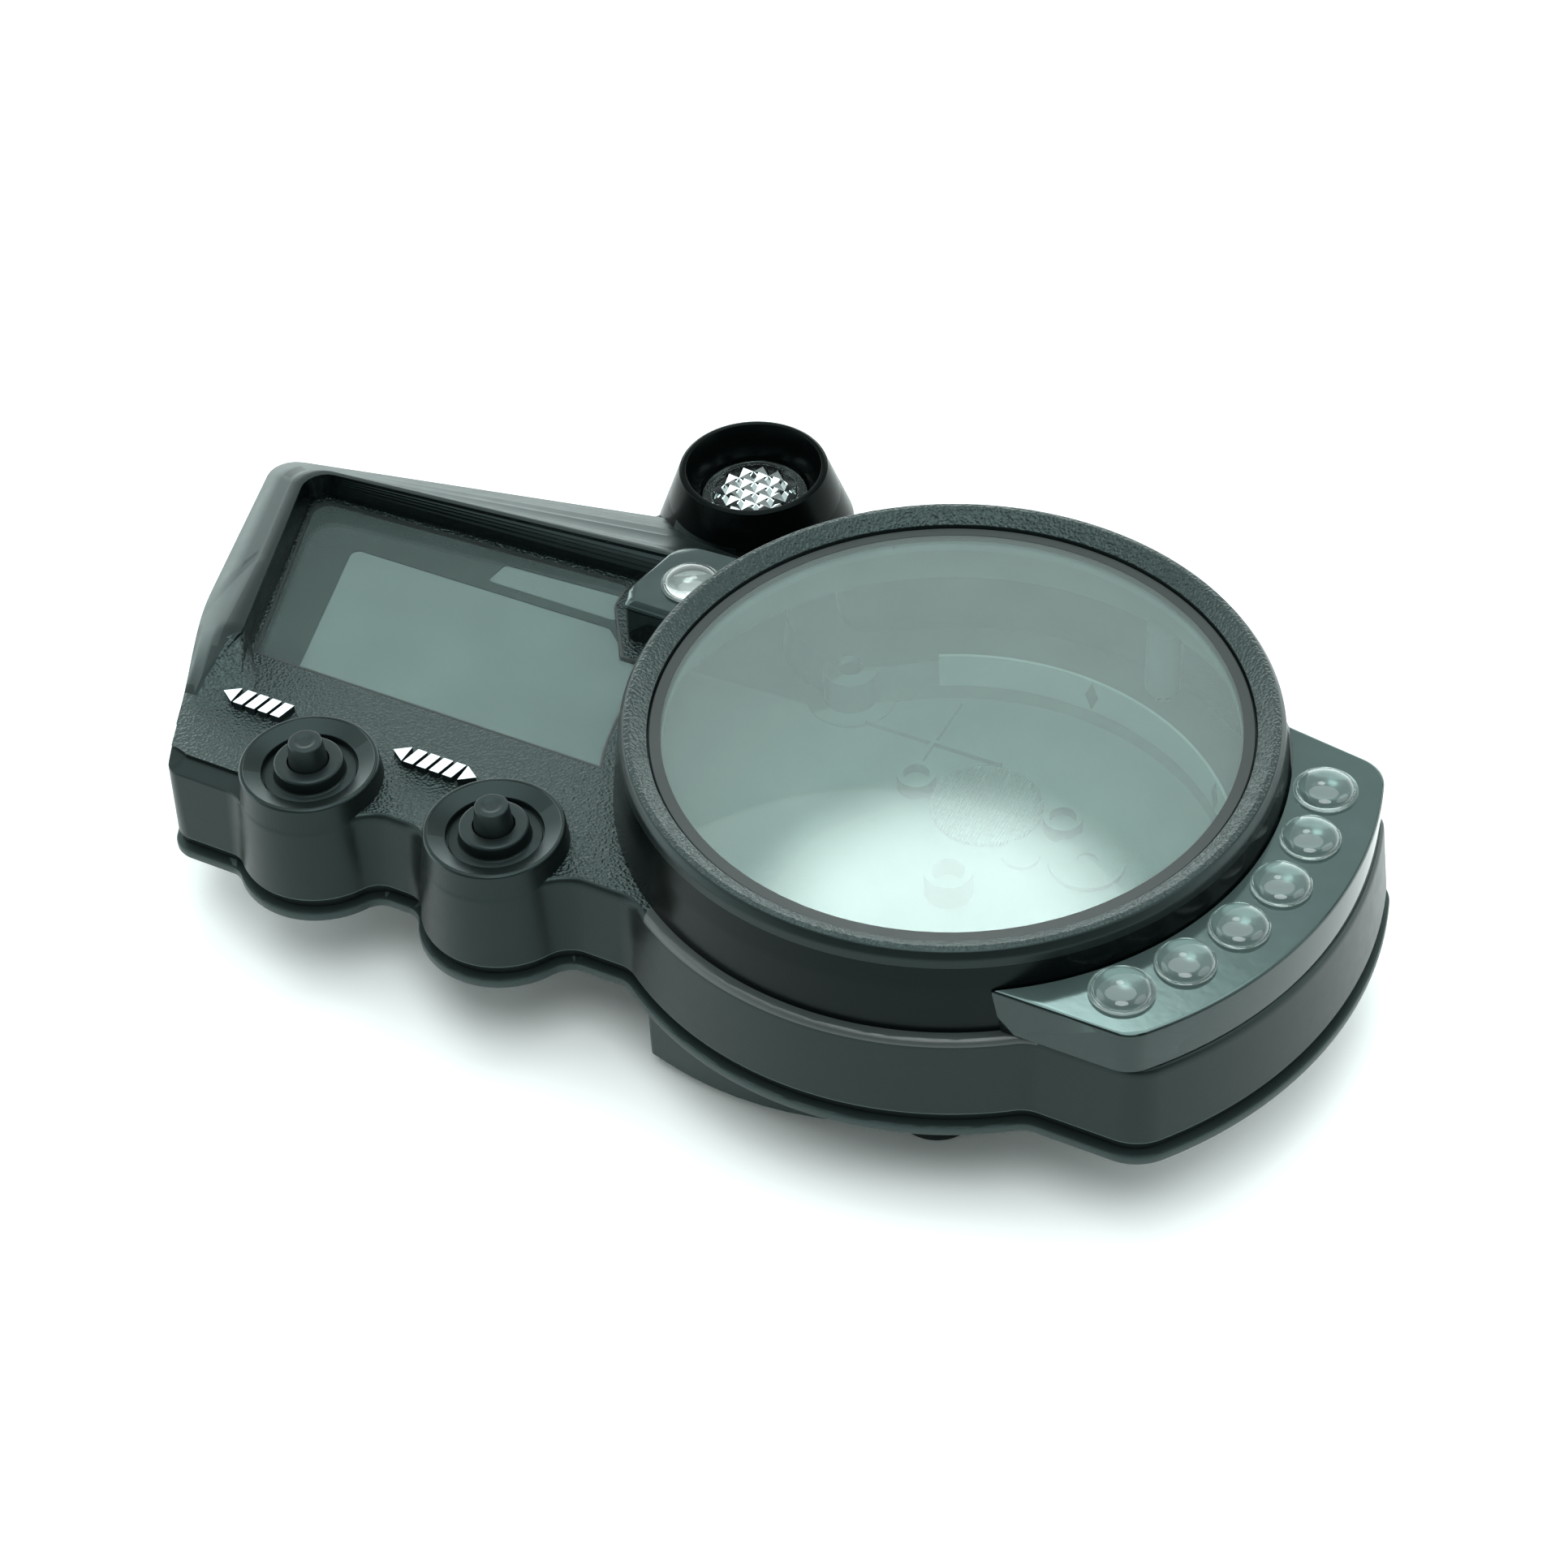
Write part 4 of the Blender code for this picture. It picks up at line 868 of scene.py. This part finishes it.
def rear_case():
    rows = [(0.3, 19.7), (0.65, 19.8), (0.8, 20.1), (0.8, 21.1), (0.65, 21.4), (0.25, 21.5)]
    lip = loft("rear_case_shell", [(cover_outline(grow), height) for grow, height in rows])
    tray = loft("tray", [(cover_outline(-11.6), 11.0), (cover_outline(-11.1), 11.15),
                         (cover_outline(-10.9), 11.6), (cover_outline(-9.5), 20.8)])
    block = rounded([(-35.0, -50.6, 1.5), (-16.0, -55.2, 60.0), (2.4, -50.8, 3.0), (2.4, -38.0, 0.3),
                     (-35.0, -38.0, 0.3)])
    hollow = rounded([(-32.8, -48.6, 1.0), (-16.0, -52.6, 60.0), (0.2, -48.6, 1.0), (0.2, -40.2, 0.3),
                      (-32.8, -40.2, 0.3)])
    join(lip, tray, soften(slab("block", block, 4.0, 20.6), 0.5, 3, 50.0))
    cut(lip, loft("tray_hollow", [(cover_outline(-13.1), 13.2), (cover_outline(-11.7), 23.4)]),
        slab("block_hollow", hollow, 6.0, 23.2))
    join(lip,
         posts("mount_ears", MOUNT_PLACES, 8.6, 11.0, 13.6, 48),
         posts("mount_bosses", MOUNT_PLACES, 5.2, 12.2, 20.6, 48),
         posts("centre_boss", [(0.0, -1.5)], 4.4, 12.2, 18.5, 48),
         posts("round_pad", [(19.6, 15.2)], 7.0, 12.2, 14.2, 48),
         posts("small_pad", [(8.0, 12.0)], 3.5, 12.2, 14.0, 32),
         posts("ring_boss", [(12.0, 21.6), (-17.0, 20.6)], 3.6, 12.2, 16.4, 32),
         slab("rib_one", oblong((-19.0, 32.0), 14.0, 0.4, 0.2), 12.2, 14.2),
         slab("rib_two", oblong((-19.0, 32.0), 0.4, 12.0, 0.2), 12.2, 14.2))
    cut(lip,
        posts("mount_holes", MOUNT_PLACES, 2.3, 0.0, 30.0, 32),
        posts("centre_hole", [(0.0, -1.5)], 3.0, 14.5, 30.0, 32),
        posts("pad_hole", [(19.6, 15.2)], 2.0, 13.6, 30.0, 24),
        posts("ring_holes", [(12.0, 21.6), (-17.0, 20.6)], 2.5, 14.4, 30.0, 24),
        posts("breather_hole", [BREATHER], 8.6, 5.0, 16.0, 48),
        posts("screw_holes", SCREW_PLACES, 1.7, 15.0, 25.0, 20),
        slab("connector_hole", oblong(CONNECTOR, 12.0, 6.0, 1.5), 5.0, 16.0))
    piece(lip, [CASE, INNER], "rear_case", sharp=32.0, flat=True)
    for face in lip.data.polygons:
        if face.center.z > 13.0 * MM and face.normal.z > -0.2:
            spot = face.center / MM
            x, y = spot.x - DRUM_X, spot.y - DRUM_Y
            if math.hypot(x, y) < 52.0 or (x < -50.0 and -45.0 < y < 30.0 and x > -150.0):
                face.material_index = 1
    piece(hoop("case_seal", cover_outline(-1.2), cover_outline(-2.2), 21.55, 23.95), RUBBER, "case_gasket")
    inner_band()


def inner_band():
    """The pale band round the back of the tray and the dark slots in it."""
    low, high, inside, outside = 16.2, 23.6, 50.1, 50.7
    rays = [direction(-14.0 + 132.0 * i / 90) for i in range(91)]
    rings = [[(r * x, r * y, z) for x, y in rays]
             for r, z in ((inside, low), (inside, high), (outside, high), (outside, low))]
    piece(swept("case_inner_band", rings), INNER_PALE)
    shape = bmesh.new()
    for bearing_at in (4.0, 44.0, 84.0):
        spots = [direction(bearing_at + d) for d in (-1.6, 0.0, 1.6)]
        corners = [(spots[0], 19.9), (spots[1], 16.6), (spots[2], 19.9), (spots[1], 23.2)]
        near = [shape.verts.new(point(50.0 * x, 50.0 * y, z)) for (x, y), z in corners]
        far = [shape.verts.new(point(50.2 * x, 50.2 * y, z)) for (x, y), z in corners]
        shape.faces.new(near)
        shape.faces.new(far[::-1])
        for i in range(4):
            shape.faces.new((near[i - 1], near[i], far[i], far[i - 1]))
    piece(thing_from("case_band_slots", shape), CASE)


def fittings():
    for index, place in enumerate(MOUNT_PLACES):
        grommet = rounded([(7.4, 10.7, 0.3), (7.4, 7.2, 0.3), (6.6, 6.8, 0.3), (6.6, 5.2, 0.3),
                           (7.4, 4.8, 0.3), (7.4, 0.0, 0.6), (3.4, 0.0, 0.3), (3.4, 10.7, 0.1)])
        piece(turned(f"mount_rubber_{index + 1}", place, grommet, 64, ring=True), RUBBER,
              f"mount_grommet_{index + 1}")
        sleeve = rounded([(3.1, 10.7, 0.1), (3.1, 0.3, 0.1), (2.3, 0.3, 0.1), (2.3, 10.7, 0.1)])
        piece(turned(f"mount_sleeve_{index + 1}", place, sleeve, 48, ring=True), ZINC,
              f"mount_collar_{index + 1}")
    # A mirror disc closing the top of the second mount's hole, standing in for the bright glint seen through
    # that hole: a painted glint
    glint_disc = [(0.0, 19.4), (2.25, 19.4), (2.25, 20.7), (0.0, 20.7)]
    piece(turned("mount_hole_glint_disc", MOUNT_PLACES[1], glint_disc, 48), SILVER)
    for index, (x, y) in enumerate(SCREW_PLACES):
        head = 18.9
        screw = rounded([(0.0, 30.0, 0), (0.7, 30.0, 0.1), (1.15, 28.6, 0.1), (1.15, head, 0),
                         (3.0, head, 0.15), (2.7, head - 1.7, 0.6), (0.0, head - 1.9, 0)])
        made = turned(f"case_screw_{index + 1}_cross", (x, y), screw, 40)
        cut(made, slab("slot_a", oblong((x, y), 1.7, 0.32, 0.1), head - 3.0, head - 0.9),
            slab("slot_b", oblong((x, y), 0.32, 1.7, 0.1), head - 3.0, head - 0.9))
        piece(made, ZINC, f"case_screw_{index + 1}")
    mesh_low = 13.5
    mesh = [(0.0, mesh_low + 0.6), (10.2, mesh_low + 0.6), (10.4, mesh_low + 0.4), (10.4, mesh_low),
            (0.0, mesh_low)]
    piece(turned("vent_mesh", BREATHER, mesh, 96), MESH, "breather_mesh")


def repaint():
    """Materials for the CAD solids that stay in view."""
    looks = {"connector_boot": RUBBER, "shift_light_reflector": SILVER, "reset_retainer": CASE,
             "select_retainer": CASE}
    for node, look in looks.items():
        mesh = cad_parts[node].data
        mesh.materials.clear()
        mesh.materials.append(look)


# ---------------------------------------------------------------- floor, light and camera

def surroundings():
    shape = bmesh.new()
    bmesh.ops.create_grid(shape, x_segments=1, y_segments=1, size=4.0)
    floor = thing_from("floor", shape)
    floor.data.materials.append(moulded("white_floor", (0.90, 0.92, 0.91), 0.7, specular=0.2, tone=0.01,
                                        patch=0.004, grain=(2.0, 0.02)))
    world = bpy.data.worlds.new("studio")
    bpy.context.scene.world = world
    world.use_nodes = True
    nodes, links = world.node_tree.nodes, world.node_tree.links
    backdrop = nodes["Background"]
    view = nodes.new("ShaderNodeTexCoord").outputs["Generated"]

    def facing(way):
        """How far a direction in the sky points along `way`."""
        node = nodes.new("ShaderNodeVectorMath")
        node.operation = 'DOT_PRODUCT'
        node.inputs[1].default_value = way
        links.new(view, node.inputs[0])
        return node.outputs["Value"]

    def eased(value, low, high, start, end):
        """A smooth step from `start` to `end` as the value runs from `low` to `high`."""
        node = tuned(nodes.new("ShaderNodeMapRange"), From_Min=low, From_Max=high, To_Min=start, To_Max=end)
        node.interpolation_type = 'SMOOTHSTEP'
        links.new(value, node.inputs["Value"])
        return node.outputs["Result"]

    def combined(operation, first, second):
        node = nodes.new("ShaderNodeMath")
        node.operation = operation
        links.new(first, node.inputs[0])
        links.new(second, node.inputs[1])
        return node.outputs["Value"]

    parts = nodes.new("ShaderNodeSeparateXYZ")
    links.new(view, parts.inputs[0])
    fade = eased(facing((-0.49, 0.87, 0.0)), -0.75, 0.25, 0.2, 1.0)
    height = eased(parts.outputs["Z"], -0.05, 0.52, 5.5, 0.85)
    patch = eased(facing((-0.280, 0.575, 0.769)), 0.9952, 0.9995, 0.0, 6.9)
    links.new(combined('ADD', combined('MULTIPLY', fade, height), patch), backdrop.inputs["Strength"])
    backdrop.inputs["Color"].default_value = (0.90, 1.0, 0.985, 1.0)
    target = point(-20, 0, 40) * MM

    def softbox(name, azimuth, elevation, distance, width, height, radiance, colour=(0.94, 1.0, 1.0)):
        """An oval lamp that faces the case; azimuth is measured from +Y towards -X."""
        a, e = math.radians(azimuth), math.radians(elevation)
        away = Vector((-math.sin(a) * math.cos(e), math.cos(a) * math.cos(e), math.sin(e)))
        lamp = bpy.data.lights.new(name, 'AREA')
        lamp.shape = 'ELLIPSE'
        lamp.size, lamp.size_y = width, height
        lamp.energy = radiance * math.pi * math.pi * width * height / 4
        lamp.color = colour
        holder = bpy.data.objects.new(name, lamp)
        holder.location = target + away * distance
        holder.rotation_euler = away.to_track_quat('Z', 'Y').to_euler()
        bpy.context.scene.collection.objects.link(holder)

    softbox("key", 30.0, 79.0, 1.6, 1.7, 1.3, 2.6)
    softbox("key_edge", 29.5, 55.3, 1.5, 0.52, 0.48, 0.5)
    softbox("left", 105.0, 38.0, 1.7, 1.2, 1.0, 1.5)
    softbox("right", -75.0, 42.0, 1.6, 1.2, 1.0, 2.2)
    softbox("front", 206.0, 66.0, 1.6, 0.9, 0.8, 7.0)
    bpy.context.scene.view_settings.view_transform = 'Standard'

    # The camera, fitted to the photo
    camera = bpy.data.cameras.new("camera")
    camera.sensor_width = 36.0
    camera.lens = 83.85
    holder = bpy.data.objects.new("camera", camera)
    right = Vector((0.88879, 0.45678, -0.03718))
    up = -Vector((0.29244, -0.62773, -0.72141))
    back = -Vector((-0.35286, 0.63030, -0.69151))
    spot = point(199.15, -415.5, 427.7 + 54.0) * MM
    holder.matrix_world = Matrix(((right.x, up.x, back.x, spot.x), (right.y, up.y, back.y, spot.y),
                                  (right.z, up.z, back.z, spot.z), (0, 0, 0, 1)))
    bpy.context.scene.collection.objects.link(holder)
    bpy.context.scene.camera = holder


front_cover()
drum_top()
display()
lamps()
shift_light()
buttons()
springs()
marks()
rear_case()
fittings()
repaint()
surroundings()
